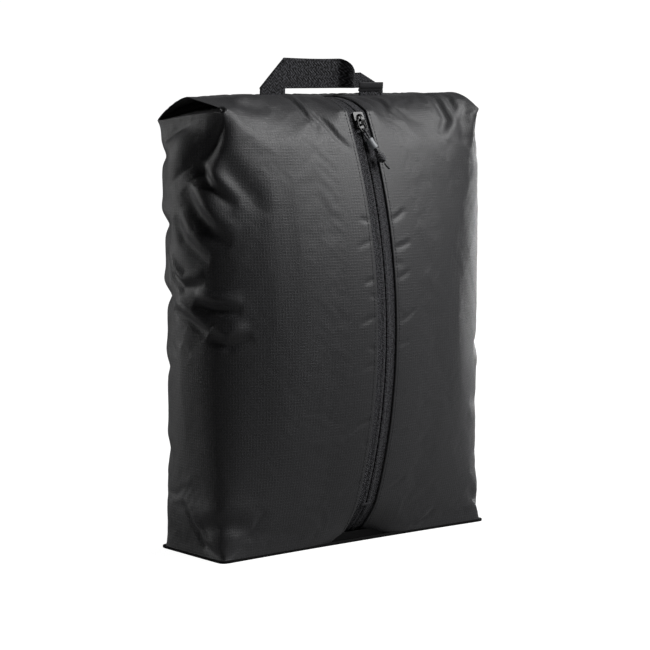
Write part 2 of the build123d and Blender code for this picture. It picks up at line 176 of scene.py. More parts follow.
def thicken(made, thickness):
    """Gives a sheet its thickness on its inner side, as real faces."""
    solid = made.modifiers.new("thickness", "SOLIDIFY")
    solid.thickness, solid.offset = thickness * MM, -1
    bake_modifiers(made)


# %% Directions and distances on a grid
def unit(vectors):
    return vectors / np.maximum(np.linalg.norm(vectors, axis=-1, keepdims=True), 1e-9)


def run_along(line):
    """How far along a line of points each point is."""
    return np.concatenate([[0], np.cumsum(np.linalg.norm(np.diff(line, axis=0), axis=1))])


def between(places, known, line):
    """The points, or directions, of a line at any places between its known ones."""
    return np.stack([np.interp(places, known, line[:, k]) for k in range(3)], -1)


def outward(points):
    """The direction square to the sheet at each point of its grid."""
    along_rows, along_cols = np.gradient(points, axis=0), np.gradient(points, axis=1)
    return unit(np.cross(along_cols, along_rows))


# %% [markdown]
# ## Making materials
#
# Colours are written as the sRGB hex values that a maker would quote, and turned to linear light in
# one place. One small function adds any node with its settings and what feeds it, so a material
# reads as a list of steps. Patterns are drawn by nodes, so they stay sharp from close up.


# %% Colour and node helpers
def colour(hex_value):
    channels = [int(hex_value[i : i + 2], 16) / 255 for i in (1, 3, 5)]
    linear = [c / 12.92 if c <= 0.04045 else ((c + 0.055) / 1.055) ** 2.4 for c in channels]
    return (*linear, 1.0)


def node(tree, kind, feeds=None, **settings):
    """Adds one node. feeds gives an input its value, or the node or output that drives it."""
    made = tree.nodes.new(kind)
    for name, value in settings.items():
        setattr(made, name, value)
    for name, value in (feeds or {}).items():
        source = value.outputs[0] if isinstance(value, bpy.types.Node) else value
        if isinstance(source, bpy.types.NodeSocket):
            tree.links.new(source, made.inputs[name])
        else:
            made.inputs[name].default_value = source
    return made


def empty_material(name):
    material = bpy.data.materials.new(name)
    material.use_nodes = True
    material.node_tree.nodes.clear()
    return material, material.node_tree


def finished(material, feeds):
    """Gives a material its Principled shader, with what feeds it, and its output."""
    shader = node(material.node_tree, "ShaderNodeBsdfPrincipled", feeds)
    node(material.node_tree, "ShaderNodeOutputMaterial", {"Surface": shader})
    return material


def flat_place(tree):
    """The cloth's own flat place: both ways together, across, and along, in millimetres."""
    uv = node(tree, "ShaderNodeUVMap", uv_map="flat_mm")
    parts = node(tree, "ShaderNodeSeparateXYZ", {0: uv})
    return uv, parts.outputs[0], parts.outputs[1]


def thread_line(tree, place, pitch, width):
    """1 on a thread that repeats every pitch, falling to 0 at its width."""
    to_line = node(tree, "ShaderNodeMath", {0: place, 1: pitch / 2}, operation="PINGPONG")
    share = node(tree, "ShaderNodeMath", {0: to_line, 1: width}, operation="DIVIDE")
    share = node(tree, "ShaderNodeMath", {0: share, 1: 1.0}, operation="MINIMUM")
    return node(tree, "ShaderNodeMath", {0: 1.0, 1: share}, operation="SUBTRACT")


# %% [markdown]
# ## Ripstop nylon
#
# The bag's cloth is a thin plain weave of fine nylon with a thicker thread every couple of
# millimetres both ways, coated and dyed black. The thicker threads stand up a little and catch
# the light as a faint grid; the coating gives a soft, broad sheen. A flat black with a bump would
# lose the grid wherever the light is level, so the grid is in the colour as well.

# %% Ripstop nylon
GRID_PITCH, GRID_THREAD = 2.3, 0.42
# The plain weave's real threads are 0.1 mm apart; these are 0.6 mm, so that they still show.
WEAVE_PITCH, WEAVE_THREAD = 0.6, 0.3
# The dye varies in clouds some 33 mm across, and the yarn in specks of 0.8 mm.
CLOUDS_PER_MM, SPECKS_PER_MM = 0.03, 1.3
RIPSTOP_RELIEF = 0.2


def ripstop_nylon():
    material, tree = empty_material("coated_ripstop_nylon")
    uv, across, along = flat_place(tree)
    thick = [thread_line(tree, place, GRID_PITCH, GRID_THREAD) for place in (across, along)]
    grid = node(tree, "ShaderNodeMath", dict(enumerate(thick)), operation="MAXIMUM")
    thin = [thread_line(tree, place, WEAVE_PITCH, WEAVE_THREAD) for place in (across, along)]
    weave = node(tree, "ShaderNodeMath", dict(enumerate(thin)), operation="MULTIPLY")
    cloudy = node(tree, "ShaderNodeTexNoise", {"Vector": uv, "Scale": CLOUDS_PER_MM, "Detail": 3.0})
    yarn = node(tree, "ShaderNodeTexNoise", {"Vector": uv, "Scale": SPECKS_PER_MM, "Detail": 2.0})
    speck = node(tree, "ShaderNodeMapRange", {0: yarn, 1: 0.35, 2: 0.65})
    # The grid comes and goes with the yarn, and both lighten the cell's black.
    uneven = node(tree, "ShaderNodeMath", {0: 0.4, 1: speck}, operation="ADD")
    patchy = node(tree, "ShaderNodeMath", {0: grid, 1: uneven}, operation="MULTIPLY")
    faint = node(tree, "ShaderNodeMath", {0: patchy, 1: 0.4}, operation="MULTIPLY")
    light = node(tree, "ShaderNodeMath", {0: faint, 1: speck}, operation="ADD")
    light = node(tree, "ShaderNodeMath", {0: light, 1: 0.7}, operation="MULTIPLY")
    cell = {0: cloudy, 6: colour("#0e0e0f"), 7: colour("#131314")}
    cell = node(tree, "ShaderNodeMix", cell, data_type="RGBA").outputs[2]
    dyed = {0: light, 6: cell, 7: colour("#424245")}
    dyed = node(tree, "ShaderNodeMix", dyed, data_type="RGBA").outputs[2]
    # The yarn is rougher than the coating between it.
    rougher = node(tree, "ShaderNodeMath", {0: speck, 1: 0.18}, operation="MULTIPLY")
    roughness = node(tree, "ShaderNodeMath", {0: 0.42, 1: rougher}, operation="ADD")
    raised = node(tree, "ShaderNodeMath", {0: patchy, 1: 0.7}, operation="MULTIPLY")
    fine = node(tree, "ShaderNodeMath", {0: weave, 1: speck}, operation="ADD")
    fine = node(tree, "ShaderNodeMath", {0: fine, 1: 0.4}, operation="MULTIPLY")
    height = node(tree, "ShaderNodeMath", {0: raised, 1: fine}, operation="ADD")
    bump = {"Height": height, "Distance": RIPSTOP_RELIEF * MM, "Strength": 0.5}
    feeds = {"Base Color": dyed, "Roughness": roughness, "Normal": node(tree, "ShaderNodeBump", bump)}
    feeds |= {"Specular IOR Level": 0.6, "Sheen Weight": 0.1, "Sheen Roughness": 0.4}
    return finished(material, feeds)


RIPSTOP = ripstop_nylon()
print("threads of the grid across the bag:", round(BASE_WIDTH / GRID_PITCH))

# %% [markdown]
# ## Woven polyester tapes
#
# Zip tape and webbing are both twills: their threads run in short slanting lines that turn back
# in a herringbone. They are matt, because polyester yarn scatters light in its fibres. The same
# recipe makes each at its own rib width and black. A zip tape's ribs are really some 0.5 mm apart
# and the webbing's 1.5 mm; both are drawn wider, so that they still show.


# %% Twill tape
def woven_twill(name, dark, light, rib, turn, roughness, relief):
    """A herringbone: slanting ribs a rib apart, that turn back every turn across the tape."""
    material, tree = empty_material(name)
    uv, across, along = flat_place(tree)
    zigzag = node(tree, "ShaderNodeMath", {0: across, 1: turn}, operation="PINGPONG")
    slant = node(tree, "ShaderNodeMath", {0: along, 1: zigzag}, operation="ADD")
    ribs = thread_line(tree, slant, rib, rib * 0.5)
    noise = node(tree, "ShaderNodeTexNoise", {"Vector": uv, "Scale": 1.4 / rib, "Detail": 2.0})
    fibre = node(tree, "ShaderNodeMapRange", {0: noise, 1: 0.4, 2: 0.62})
    ribbed = node(tree, "ShaderNodeMath", {0: 0.25, 1: ribs}, operation="ADD")
    worn = node(tree, "ShaderNodeMath", {0: 0.1, 1: fibre}, operation="ADD")
    share = node(tree, "ShaderNodeMath", {0: ribbed, 1: worn}, operation="MULTIPLY")
    dyed = {0: share, 6: colour(dark), 7: colour(light)}
    dyed = node(tree, "ShaderNodeMix", dyed, data_type="RGBA").outputs[2]
    fine = node(tree, "ShaderNodeMath", {0: fibre, 1: 0.4}, operation="MULTIPLY")
    height = node(tree, "ShaderNodeMath", {0: ribs, 1: fine}, operation="ADD")
    bump = {"Height": height, "Distance": relief * MM, "Strength": 0.8}
    feeds = {"Base Color": dyed, "Roughness": roughness, "Normal": node(tree, "ShaderNodeBump", bump)}
    feeds |= {"Specular IOR Level": 0.15, "Sheen Weight": 0.05}
    return finished(material, feeds)


# The binding and the label are narrower than this turn, so their ribs never turn back.
NO_TURN = 50.0
ZIP_TAPE = woven_twill("woven_polyester_zip_tape", "#060607", "#5c5c60", 1.9, 2.0, 0.75, 0.4)
WEBBING = woven_twill("polyester_twill_webbing", "#060607", "#4e4e52", 2.6, 3.1, 0.7, 0.5)
BINDING = woven_twill("polyester_binding_tape", "#151516", "#2e2e30", 0.9, NO_TURN, 0.7, 0.12)
# The darkest tape is painted shadow on the roll under the base seam, standing for the gap beneath the hem;
# the base's binding shares it.
SEAM_TAPE_AND_SHADOW = woven_twill("black_tape_and_painted_seam_shadow", "#030303", "#08080a", 0.9, NO_TURN, 0.85, 0.1)
LABEL = woven_twill("woven_satin_label_tape", "#2b2b2d", "#3a3a3c", 0.5, NO_TURN, 0.42, 0.05)
print("twills:", [m.name for m in (ZIP_TAPE, WEBBING, BINDING, SEAM_TAPE_AND_SHADOW, LABEL)])

# %% [markdown]
# ## Thread, nylon, enamel and the grey sleeve
#
# Sewing thread is twisted polyester. The coil is bare nylon, drawn out smooth. The slider is a zinc
# casting under black enamel: a dark paint under a thin clear layer. The sleeve on the pull is
# moulded grey rubbery plastic. All four are nearly even in colour, so one recipe serves them: a
# slight mottle and an equally slight bump. Its grain is 0.8 to 1.4 mm, coarser than any of them
# really is, so that it still shows.


# %% Yarns and plastics
def plain_finish(name, base, roughness, mottle, grains_per_m, relief, coat=0.0):
    """A finish with a slight mottle in its colour and surface, in the object's own space."""
    material, tree = empty_material(name)
    place = node(tree, "ShaderNodeTexCoord").outputs["Object"]
    grain = node(tree, "ShaderNodeTexNoise", {"Vector": place, "Scale": grains_per_m, "Detail": 4.0})
    dyed = {0: grain, 6: colour(base), 7: colour(mottle)}
    dyed = node(tree, "ShaderNodeMix", dyed, data_type="RGBA").outputs[2]
    bump = {"Height": grain, "Distance": relief * MM, "Strength": 0.6}
    feeds = {"Base Color": dyed, "Roughness": roughness, "Normal": node(tree, "ShaderNodeBump", bump)}
    feeds |= {"Coat Weight": coat, "Coat Roughness": 0.12}
    return finished(material, feeds)


THREAD = plain_finish("twisted_polyester_thread", "#2a2a2c", 0.6, "#59595d", 900.0, 0.1)
NYLON_COIL = plain_finish("extruded_nylon_coil", "#101011", 0.35, "#1c1c1d", 900.0, 0.03)
ENAMEL = plain_finish("black_enamelled_zinc", "#080809", 0.45, "#0f0f10", 700.0, 0.015, coat=0.15)
SLEEVE = plain_finish("moulded_grey_rubber", "#8d9094", 0.5, "#a3a6aa", 1200.0, 0.05)

# %% [markdown]
# ## Braided cord
#
# The pull's cord is eight yarns plaited round a core, which show as crossing slanted ribs. A wave
# texture gives the ribs without a mesh for each yarn. They come about 1.4 mm apart, where the real
# ones are some 0.7 mm, so that they still show.

# %% Braided cord
BRAID_WAVES, FIBRES_PER_M = 260.0, 3000.0


def braided_cord():
    material, tree = empty_material("braided_polyester_cord")
    place = node(tree, "ShaderNodeTexCoord").outputs["Object"]
    wave = {"Vector": place, "Scale": BRAID_WAVES, "Distortion": 1.5}
    wave = node(tree, "ShaderNodeTexWave", wave, bands_direction="DIAGONAL").outputs[1]
    fibre = node(tree, "ShaderNodeTexNoise", {"Vector": place, "Scale": FIBRES_PER_M, "Detail": 3.0})
    uneven = node(tree, "ShaderNodeMath", {0: 0.4, 1: fibre}, operation="ADD")
    ribs = node(tree, "ShaderNodeMath", {0: wave, 1: uneven}, operation="MULTIPLY")
    dyed = {0: ribs, 6: colour("#1c1c1e"), 7: colour("#68686c")}
    dyed = node(tree, "ShaderNodeMix", dyed, data_type="RGBA").outputs[2]
    bump = {"Height": ribs, "Distance": 0.2 * MM, "Strength": 0.8}
    feeds = {"Base Color": dyed, "Roughness": 0.58, "Normal": node(tree, "ShaderNodeBump", bump)}
    return finished(material, feeds | {"Sheen Weight": 0.2})


CORD_BRAID = braided_cord()
print("finishes:", [m.name for m in (THREAD, NYLON_COIL, ENAMEL, SLEEVE, CORD_BRAID)])

# %% [markdown]
# ## The pull's cord
#
# The slider is pulled by a ring, and the ring by a thin cord that is doubled through it and tied
# in a knot. The cord is a limp 1.6 mm line. Its route is the list below, along the pull and out
# from it, as the CAD model has it. A NURBS curve of order 3 smooths it into one line with a round
# section, which a mesh tube would need many more points for.

# %% The pull's sizes and directions
SLIDER_HEIGHT = 340.5
RISE = math.asin((SLIDER_HEIGHT - ZIP_Z) / ZIP_RADIUS)
BAR_OUT, RING_LENGTH = 1.9, 10.5
PULL_LEAN, LINE_TILT = math.radians(20), math.radians(4)
CORD, CORD_LENGTH = 1.6, 45.0
KNOT_START, KNOT_TURNS, KNOT_PITCH, KNOT_WIDTH, TAIL_LENGTH = 20.0, 4, 2.3, 7.0, 7.0
SLEEVE_START, SLEEVE_LENGTH, SLEEVE_WIDTH, SLEEVE_BORE = 7.0, 9.0, 6.0, 4.7
CORD_HALF = [(20.0, 0.9), (12.5, 0.95), (6.5, 1.25), (2.4, 1.7), (-1.65, 1.7)]
CORD_ROUTE = [(s, -out) for s, out in CORD_HALF] + CORD_HALF[::-1]


def on_slider(x, out, up):
    """A point from the slider's own directions: across, out of the cloth, and up along the zip."""
    y = ZIP_Y - ZIP_RADIUS * math.cos(RISE) - out * math.cos(RISE) + up * math.sin(RISE)
    z = SLIDER_HEIGHT + out * math.sin(RISE) + up * math.cos(RISE)
    return np.array([x, y, z])


def on_pull(s, out, across=0.0):
    """A point from the pull's own line: along it, out from it, and across it."""
    along = s * math.cos(LINE_TILT) - out * math.sin(LINE_TILT)
    lift = s * math.sin(LINE_TILT) + out * math.cos(LINE_TILT)
    x = along * math.sin(PULL_LEAN) + across * math.cos(PULL_LEAN)
    up = -RING_LENGTH - along * math.cos(PULL_LEAN) + across * math.sin(PULL_LEAN)
    return on_slider(x, BAR_OUT + lift, up)


# %% Cord
def nurbs_cord(name, points, diameter, material):
    curve = bpy.data.curves.new(name, "CURVE")
    curve.dimensions = "3D"
    spline = curve.splines.new("NURBS")
    spline.points.add(len(points) - 1)
    for point, place in zip(spline.points, points):
        point.co = (*(place * MM), 1)
    spline.order_u = 3
    spline.use_endpoint_u = True
    curve.resolution_u = 12
    curve.bevel_depth = diameter / 2 * MM
    curve.bevel_resolution = 4
    curve.use_fill_caps = True
    curve.materials.append(material)
    return placed(name, curve)


cord = nurbs_cord("pull_cord_line", [on_pull(s, out) for s, out in CORD_ROUTE], CORD, CORD_BRAID)
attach(cord, "puller")
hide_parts("pull_cord")
print("cord:", CORD_LENGTH, "mm through", len(CORD_ROUTE), "points")

# %% [markdown]
# ## Sleeve, knot and tail
#
# A short grey sleeve keeps the two strands together. Below it they are tied in a barrel knot:
# four turns side by side, each a little out of true as a hand leaves them. The end beyond the
# knot was cut hot, so its tip is sealed. The knot is a tube wound as a spiral, with a plain core
# inside to close it; a true knot's path would look the same from outside.

# %% Sleeve
def turned(name, profile, start, material, sides=40):
    """A piece turned round the pull's line from its profile of (along, radius)."""
    angles = np.linspace(0, 2 * math.pi, sides, endpoint=False)
    rings = [[on_pull(start + s, r * math.sin(a), r * math.cos(a)) for a in angles] for s, r in profile]
    flat = [[(3.0 * a, s) for a in (*angles, 2 * math.pi)] for s, r in profile]
    return strip_mesh(name, np.array(rings), np.array(flat), material, round_and_back=True)


# From the bore over the rounded lip to the slightly waisted middle, and the same back again.
bore, outside = SLEEVE_BORE / 2, SLEEVE_WIDTH / 2
sleeve_profile = [(0.25, bore), (0.0, (SLEEVE_WIDTH + SLEEVE_BORE) / 4), (0.3, outside - 0.1)]
sleeve_profile += [(0.9, outside), (2.6, outside - 0.22), (SLEEVE_LENGTH / 2, outside - 0.28)]
sleeve_profile += [(SLEEVE_LENGTH - s, r) for s, r in reversed(sleeve_profile[:-1])]
sleeve_profile += [(SLEEVE_LENGTH / 2, bore), (0.25, bore)]
sleeve = turned("pull_grey_sleeve", sleeve_profile, SLEEVE_START, SLEEVE)
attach(sleeve, "puller")
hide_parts("pull_sleeve")
print("sleeve faces:", len(sleeve.data.polygons))


# %% Knot
def tube_along(name, line, radius, material, sides=12, ends=0.5):
    """A round tube along a line of points, drawn in at its two ends."""
    line = np.array(line, float)
    ahead = unit(np.gradient(line, axis=0))
    side = unit(np.cross(ahead, np.roll(ahead, 1, axis=1) + 0.01))
    up = np.cross(side, ahead)
    count = len(line)
    swell = np.ones(count)
    swell[0], swell[1], swell[-2], swell[-1] = 0.05, 0.05 + ends, 0.05 + ends, 0.05
    angles = np.linspace(0, 2 * math.pi, sides, endpoint=False)
    rings = line[:, None] + (radius * swell)[:, None, None] * (
        np.cos(angles)[None, :, None] * side[:, None] + np.sin(angles)[None, :, None] * up[:, None]
    )
    flat = np.stack(np.meshgrid(np.linspace(0, 2 * math.pi * radius, sides + 1), run_along(line)), -1)
    return strip_mesh(name, rings, flat, material, round_and_back=True)


turn_radius = (KNOT_WIDTH - KNOT_PITCH) / 2
knot_line = []
for share in np.linspace(0, 1, 12 * KNOT_TURNS + 1):
    turn = share * (KNOT_TURNS - 0.55) * 2 * math.pi
    along = KNOT_START + KNOT_PITCH / 2 + share * (KNOT_TURNS - 1) * KNOT_PITCH
    swell = turn_radius * (1 - 0.1 * math.cos(2 * math.pi * share)) - 0.12 * math.sin(1.7 * turn)
    knot_line.append(on_pull(along, swell * math.sin(turn), swell * math.cos(turn)))
knot = tube_along("pull_barrel_knot", knot_line, KNOT_PITCH / 2 + 0.08, CORD_BRAID, sides=14)
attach(knot, "puller")
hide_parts("pull_knot")
knot_length = KNOT_TURNS * KNOT_PITCH
core_profile = [(0.2, 0.3), (0.5, 1.9), (knot_length - 0.5, 1.9), (knot_length - 0.2, 0.3)]
core = turned("pull_knot_core", core_profile, KNOT_START, CORD_BRAID, sides=20)
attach(core, "puller")
print("knot:", KNOT_TURNS, "turns,", knot_length, "mm long")

# %% Tail
knot_end = KNOT_START + KNOT_TURNS * KNOT_PITCH
TAIL_ROUTE = [(-1.0, 0.0), (1.5, 0.0), (3.5, 0.25), (5.4, 0.8), (6.4, 1.2), (TAIL_LENGTH, 1.4)]
tail_line = [on_pull(knot_end + s, out) for s, out in TAIL_ROUTE]
tail = tube_along("pull_cord_sealed_tail", tail_line, CORD / 2 + 0.1, CORD_BRAID, ends=0.9)
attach(tail, "puller")
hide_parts("pull_cord_tail")

# %% [markdown]
# ## Slider and ring
#
# The casting, its arch and the wire ring are small and rigid, and the CAD model has their real
# shape, so they are carried over and only given their enamel.

# %% Slider finish
for name in ("slider_body", "slider_bridge", "pull_ring"):
    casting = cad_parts[name]
    casting.data.materials.clear()
    casting.data.materials.append(ENAMEL)
print("enamelled parts:", ENAMEL.users)

# %% [markdown]
# ## The cloth before it is filled out
#
# The wrap is laid out as a grid: columns go round the bag from the zip's right fold to its left
# fold, and rows go up from the base seam to the ridge seam. Up to the shoulder a row is a level
# outline of the bag. Above it the front and the back lean in to the ridge, and each side is
# tucked in between them, as the top of a milk carton is. A box that is cut and pulled about would
# lose the cloth's true length; a grid keeps it, because each panel has its own count of columns.

# %% Panels, edges and corners
FRONT_RUN = BASE_WIDTH / 2 - SLOT_HALF
PANELS = [("front_right", FRONT_RUN, 42), ("right", BASE_DEPTH, 28), ("back", BASE_WIDTH, 90)]
PANELS += [("left", BASE_DEPTH, 28), ("front_left", FRONT_RUN, 42)]
WALL_ROWS, ROOF_ROWS = 116, 14
RIGHT_EDGE = [(0, 138), (30, 140), (150, 141), (240, 142.5), (300, 140), (348, 131.5)]
LEFT_EDGE = [(0, 136), (40, 138.5), (160, 140.5), (300, 143), (348, 138.5)]
RIDGE_RIGHT, RIDGE_LEFT = 124.0, 138.0
# How far the roof's slopes, the back and the left side stand out where they are fullest. The right
# side stands out by a share of what the left does.
ROOF_PUFF, BACK_BULGE, LEFT_BULGE, RIGHT_SHARE = 3.0, 20.0, 4.0, 0.6
# The left shoulder's front corner is pulled in and up to the ridge, and its back corner hangs down.
CORNER_IN, CORNER_UP, CORNER_DOWN, CORNER_BACK = 8.0, 3.0, 7.0, 2.0
# The pull on the corners starts this high, and each face leans in this far up to its shoulder.
DRAWN_FROM, SHOULDER_TAPER = 285, 2.6
# The tucked cloth rises this far from the shoulder to the ridge, and sinks this far off its folds.
TUCK_RISE, TUCK_SINK = 8.0, 1.2
wall_z = np.linspace(0, SHOULDER, WALL_ROWS + 1)
roof_h = np.linspace(0, ROOF_RUN, ROOF_ROWS + 1)[1:]
print("columns:", sum(count for _, _, count in PANELS) + 1, "rows:", len(wall_z) + len(roof_h))


# %% A level row of the wall
def wall_row(z):
    """One level outline, from the zip's right fold round to its left fold."""
    right, left = float(through(z, RIGHT_EDGE)), float(through(z, LEFT_EDGE))
    deep, zip_y = BASE_DEPTH / 2 - SHOULDER_TAPER * z / SHOULDER, float(zip_line(z))
    back_y = deep + BACK_BULGE * (1 - ((z - ZIP_Z) / ZIP_Z) ** 2)
    side_full = LEFT_BULGE * math.sin(math.pi * z / SHOULDER)
    pulled = float(soft_step(DRAWN_FROM, SHOULDER, z))
    row = []
    for name, _, count in PANELS:
        f = np.linspace(0, 1, count + 1)
        up = 0 * f
        if name == "front_right":
            x = SLOT_HALF + (right - SLOT_HALF) * f
            y = -deep - (zip_y - deep) * (1 - f**2.0)
        elif name == "right":
            x, y = right + side_full * 4 * f * (1 - f) * RIGHT_SHARE, -deep + 2 * deep * f
        elif name == "back":
            x, y = right - (right + left) * f, deep + (back_y - deep) * (1 - (2 * f - 1) ** 2)
            up = -CORNER_DOWN * soft_step(0.8, 1, f)
        elif name == "left":
            x, y = -left - side_full * 4 * f * (1 - f), deep - 2 * deep * f
            x, up = x + pulled * CORNER_IN * f**1.5, CORNER_UP * f - CORNER_DOWN * (1 - f)
        else:
            x = -left + (left - SLOT_HALF) * f
            y = -deep - (zip_y - deep) * (1 - (1 - f) ** 2.0)
            near = soft_step(0.4, 0, f)
            x, y, up = x + pulled * CORNER_IN * near, y + CORNER_BACK * pulled * near, CORNER_UP * near
        skip = 0 if name == "front_right" else 1
        row.append(np.stack([x, y, z + pulled * up], -1)[skip:])
    return np.concatenate(row)


# %% A row of the roof
def roof_row(h):
    """One row above the shoulder: level on the slopes, and folded in at the two sides."""
    share = h / ROOF_RUN
    right = float(through(SHOULDER, RIGHT_EDGE)) * (1 - share) + RIDGE_RIGHT * share
    left = float(through(SHOULDER, LEFT_EDGE)) * (1 - share) + RIDGE_LEFT * share
    y = FOOT_Y * (1 - share)
    z = roof_line(y)
    straight = SHOULDER + (RIDGE_HEIGHT - SHOULDER) * share
    puffed = ROOF_PUFF * math.sin(math.pi * share)
    slack = 1 - share
    row = []
    for name, _, count in PANELS:
        f = np.linspace(0, 1, count + 1)
        if name == "front_right":
            x, yy = SLOT_HALF + (right - SLOT_HALF) * f, np.full_like(f, -y)
            # Under the label the cloth lies 0.6 mm lower, clear of it when the handle lies forward.
            under_label = soft_step(0.0, 0.1, f) * soft_step(0.6, 0.45, f)
            zz = z + puffed * soft_step(0.48, 0.75, f) - 0.6 * under_label
        elif name == "front_left":
            x, yy = -left + (left - SLOT_HALF) * f, np.full_like(f, -y)
            near = soft_step(0.4, 0, f)
            x, yy = x + slack * CORNER_IN * near, yy + CORNER_BACK * slack * near
            zz = z + puffed * soft_step(0.96, 0.7, f) * soft_step(0.0, 0.35, f)
            zz = zz * (1 - near) + straight * near + slack * CORNER_UP * near
        elif name == "back":
            x, yy = right - (right + left) * f, np.full_like(f, y)
            zz = z + puffed * soft_step(-0.02, 0.1, f) * soft_step(1.02, 0.9, f)
            zz = zz - slack * CORNER_DOWN * soft_step(0.8, 1, f)
        else:
            # Beyond h from a corner the side is tucked in; nearer to it, it lies under the slope.
            side, edge = (1, right) if name == "right" else (-1, left)
            from_corner = np.minimum(f, 1 - f) * BASE_DEPTH
            near_front = (f < 0.5) if side == 1 else (f > 0.5)
            face = np.where(near_front, -1, 1)
            tucked = from_corner > h
            floor_y = face * (BASE_DEPTH / 2 - from_corner) * FOOT_Y * 2 / BASE_DEPTH
            x = side * (edge - np.where(tucked, h, from_corner))
            yy = np.where(tucked, floor_y, face * y)
            under = np.clip(from_corner / 4, 0, 1)
            roof = z + 0.5 * puffed if side == 1 else np.where(near_front, straight, z)
            zz = np.where(tucked, SHOULDER + TUCK_RISE * share - TUCK_SINK * under, roof - under)
            if side == -1:
                zz = zz + slack * np.where(f > 0.5, CORNER_UP * (2 * f - 1), -CORNER_DOWN * (1 - 2 * f))
                x = x + slack * CORNER_IN * f**1.5
        skip = 0 if name == "front_right" else 1
        row.append(np.stack([x, yy, zz], -1)[skip:])
    return np.concatenate(row)


# %% The whole grid, and each point's place on the flat cloth
carton = np.array([wall_row(z) for z in wall_z] + [roof_row(h) for h in roof_h])
around = np.concatenate([[0.0]] + [np.full(count, run / count) for _, run, count in PANELS]).cumsum()
upward = np.concatenate([wall_z, SHOULDER + roof_h])
girth = around[-1]
print("wrap's flat size, mm:", round(girth, 1), "x", round(upward[-1], 1), "grid", carton.shape[:2])

# %% [markdown]
# ## Filling it out
#
# Stuffing rounds the folds of the carton: hardly at the base, where the seam holds it square, and
# most half way up. A bevel would round every fold alike. Instead each pass moves a point part of
# the way to the middle of its neighbours, and the share differs from place to place. It is none
# along the zip and on the tucked sides.

# %% Round the edges
across_places = np.where(around < girth / 2, around, around - girth)[None, :]
heights = upward[:, None]
to_zip = np.abs(across_places)
on_side = (to_zip > FRONT_RUN) & (to_zip < FRONT_RUN + BASE_DEPTH)
tucked_side = on_side & (heights > SHOULDER - 1)


def rounded(points, passes, round_share, up_share):
    """Passes of smoothing round the bag and up it, each with its own share at every point."""
    p = points.copy()
    for _ in range(passes):
        side_to_side = (p[:, :-2] + p[:, 2:]) / 2 - p[:, 1:-1]
        p[:, 1:-1] += round_share[:, 1:-1, None] * side_to_side
        up_and_down = (p[:-2] + p[2:]) / 2 - p[1:-1]
        p[1:-1] += up_share[1:-1, :, None] * up_and_down
    return p


full_up = np.sin(math.pi * np.clip(heights / SHOULDER, 0, 1))
round_share = 0.03 + 0.62 * full_up**0.6 + 0 * across_places
round_share = round_share * soft_step(4, 30, to_zip) * soft_step(SHOULDER + 4, SHOULDER - 25, heights)
shoulder_band = np.exp(-(((heights - SHOULDER) / 22) ** 2))
middle_of_front = soft_step(FRONT_RUN + 2, FRONT_RUN - 55, to_zip)
middle_of_back = soft_step(FRONT_RUN + BASE_DEPTH, FRONT_RUN + BASE_DEPTH + 50, to_zip)
up_share = 0.7 * shoulder_band * np.maximum(middle_of_front * soft_step(6, 30, to_zip), middle_of_back)
up_share = np.where(tucked_side, 0, up_share) + 0.05 * full_up
round_share = np.where(tucked_side, 0, round_share)
ROUNDING_PASSES = 60
filled = rounded(carton, ROUNDING_PASSES, round_share, up_share)
print("rounding moved a point by up to", round(np.linalg.norm(filled - carton, axis=-1).max(), 1), "mm")

# %% [markdown]
# ## The zip's foot
#
# At the foot of the zip the two folds are caught in the base seam, and the seam is drawn in and
# up there. The tapes take the same shift, so it is one function. The base panel stays flat on the
# floor and straight in front, so its outline is kept from before the shift.

# %% Tuck at the zip's foot
TUCK_MIDDLE, TUCK_WIDTH, TUCK_HEIGHT = 4, 26, 36
TUCK_BACK, TUCK_UP = 9.0, 6.0


def finer(points, axis):
    """Twice as many points along one axis, each new one on the smooth curve through its neighbours."""
    p = np.moveaxis(points, axis, 0)
    padded = np.concatenate([2 * p[:1] - p[1:2], p, 2 * p[-1:] - p[-2:-1]])
    middle = (9 * (padded[1:-2] + padded[2:-1]) - padded[:-3] - padded[3:]) / 16
    out = np.empty((2 * len(p) - 1,) + p.shape[1:])
    out[::2], out[1::2] = p, middle
    return np.moveaxis(out, 0, axis)


def foot_tuck(x, z):
    """How far back and up the front's foot is drawn, near the zip."""
    near = np.exp(-(((np.asarray(x, float) - TUCK_MIDDLE) / TUCK_WIDTH) ** 2))
    low = np.clip(1 - np.asarray(z, float) / TUCK_HEIGHT, 0, 1)
    return TUCK_BACK * near * low**1.6, TUCK_UP * near * low**1.3


base_outline = finer(filled[0], 0)
front_side = np.abs(across_places) < FRONT_RUN - 10
back_shift, up_shift = foot_tuck(filled[..., 0], filled[..., 2])
filled[..., 1] += np.where(front_side, back_shift, 0)
filled[..., 2] += np.where(front_side, up_shift, 0)
print("the foot is drawn up by", round(float(up_shift.max()), 1), "mm beside the zip")

# %% [markdown]
# ## Letting the cloth settle
#
# The filled shape is run as cloth for a few frames. The cloth grows by 2.5 %, is pushed out by what
# is inside, and is held along the zip, the hem, the ridge and the tucked sides, so it buckles into
# the small waves of real thin cloth. A noise texture could make waves too, but they wouldn't run
# from the places where the cloth is held. A faint pull to its first place keeps the outline.


# %% Cloth simulation
SETTLE_FRAMES = 14


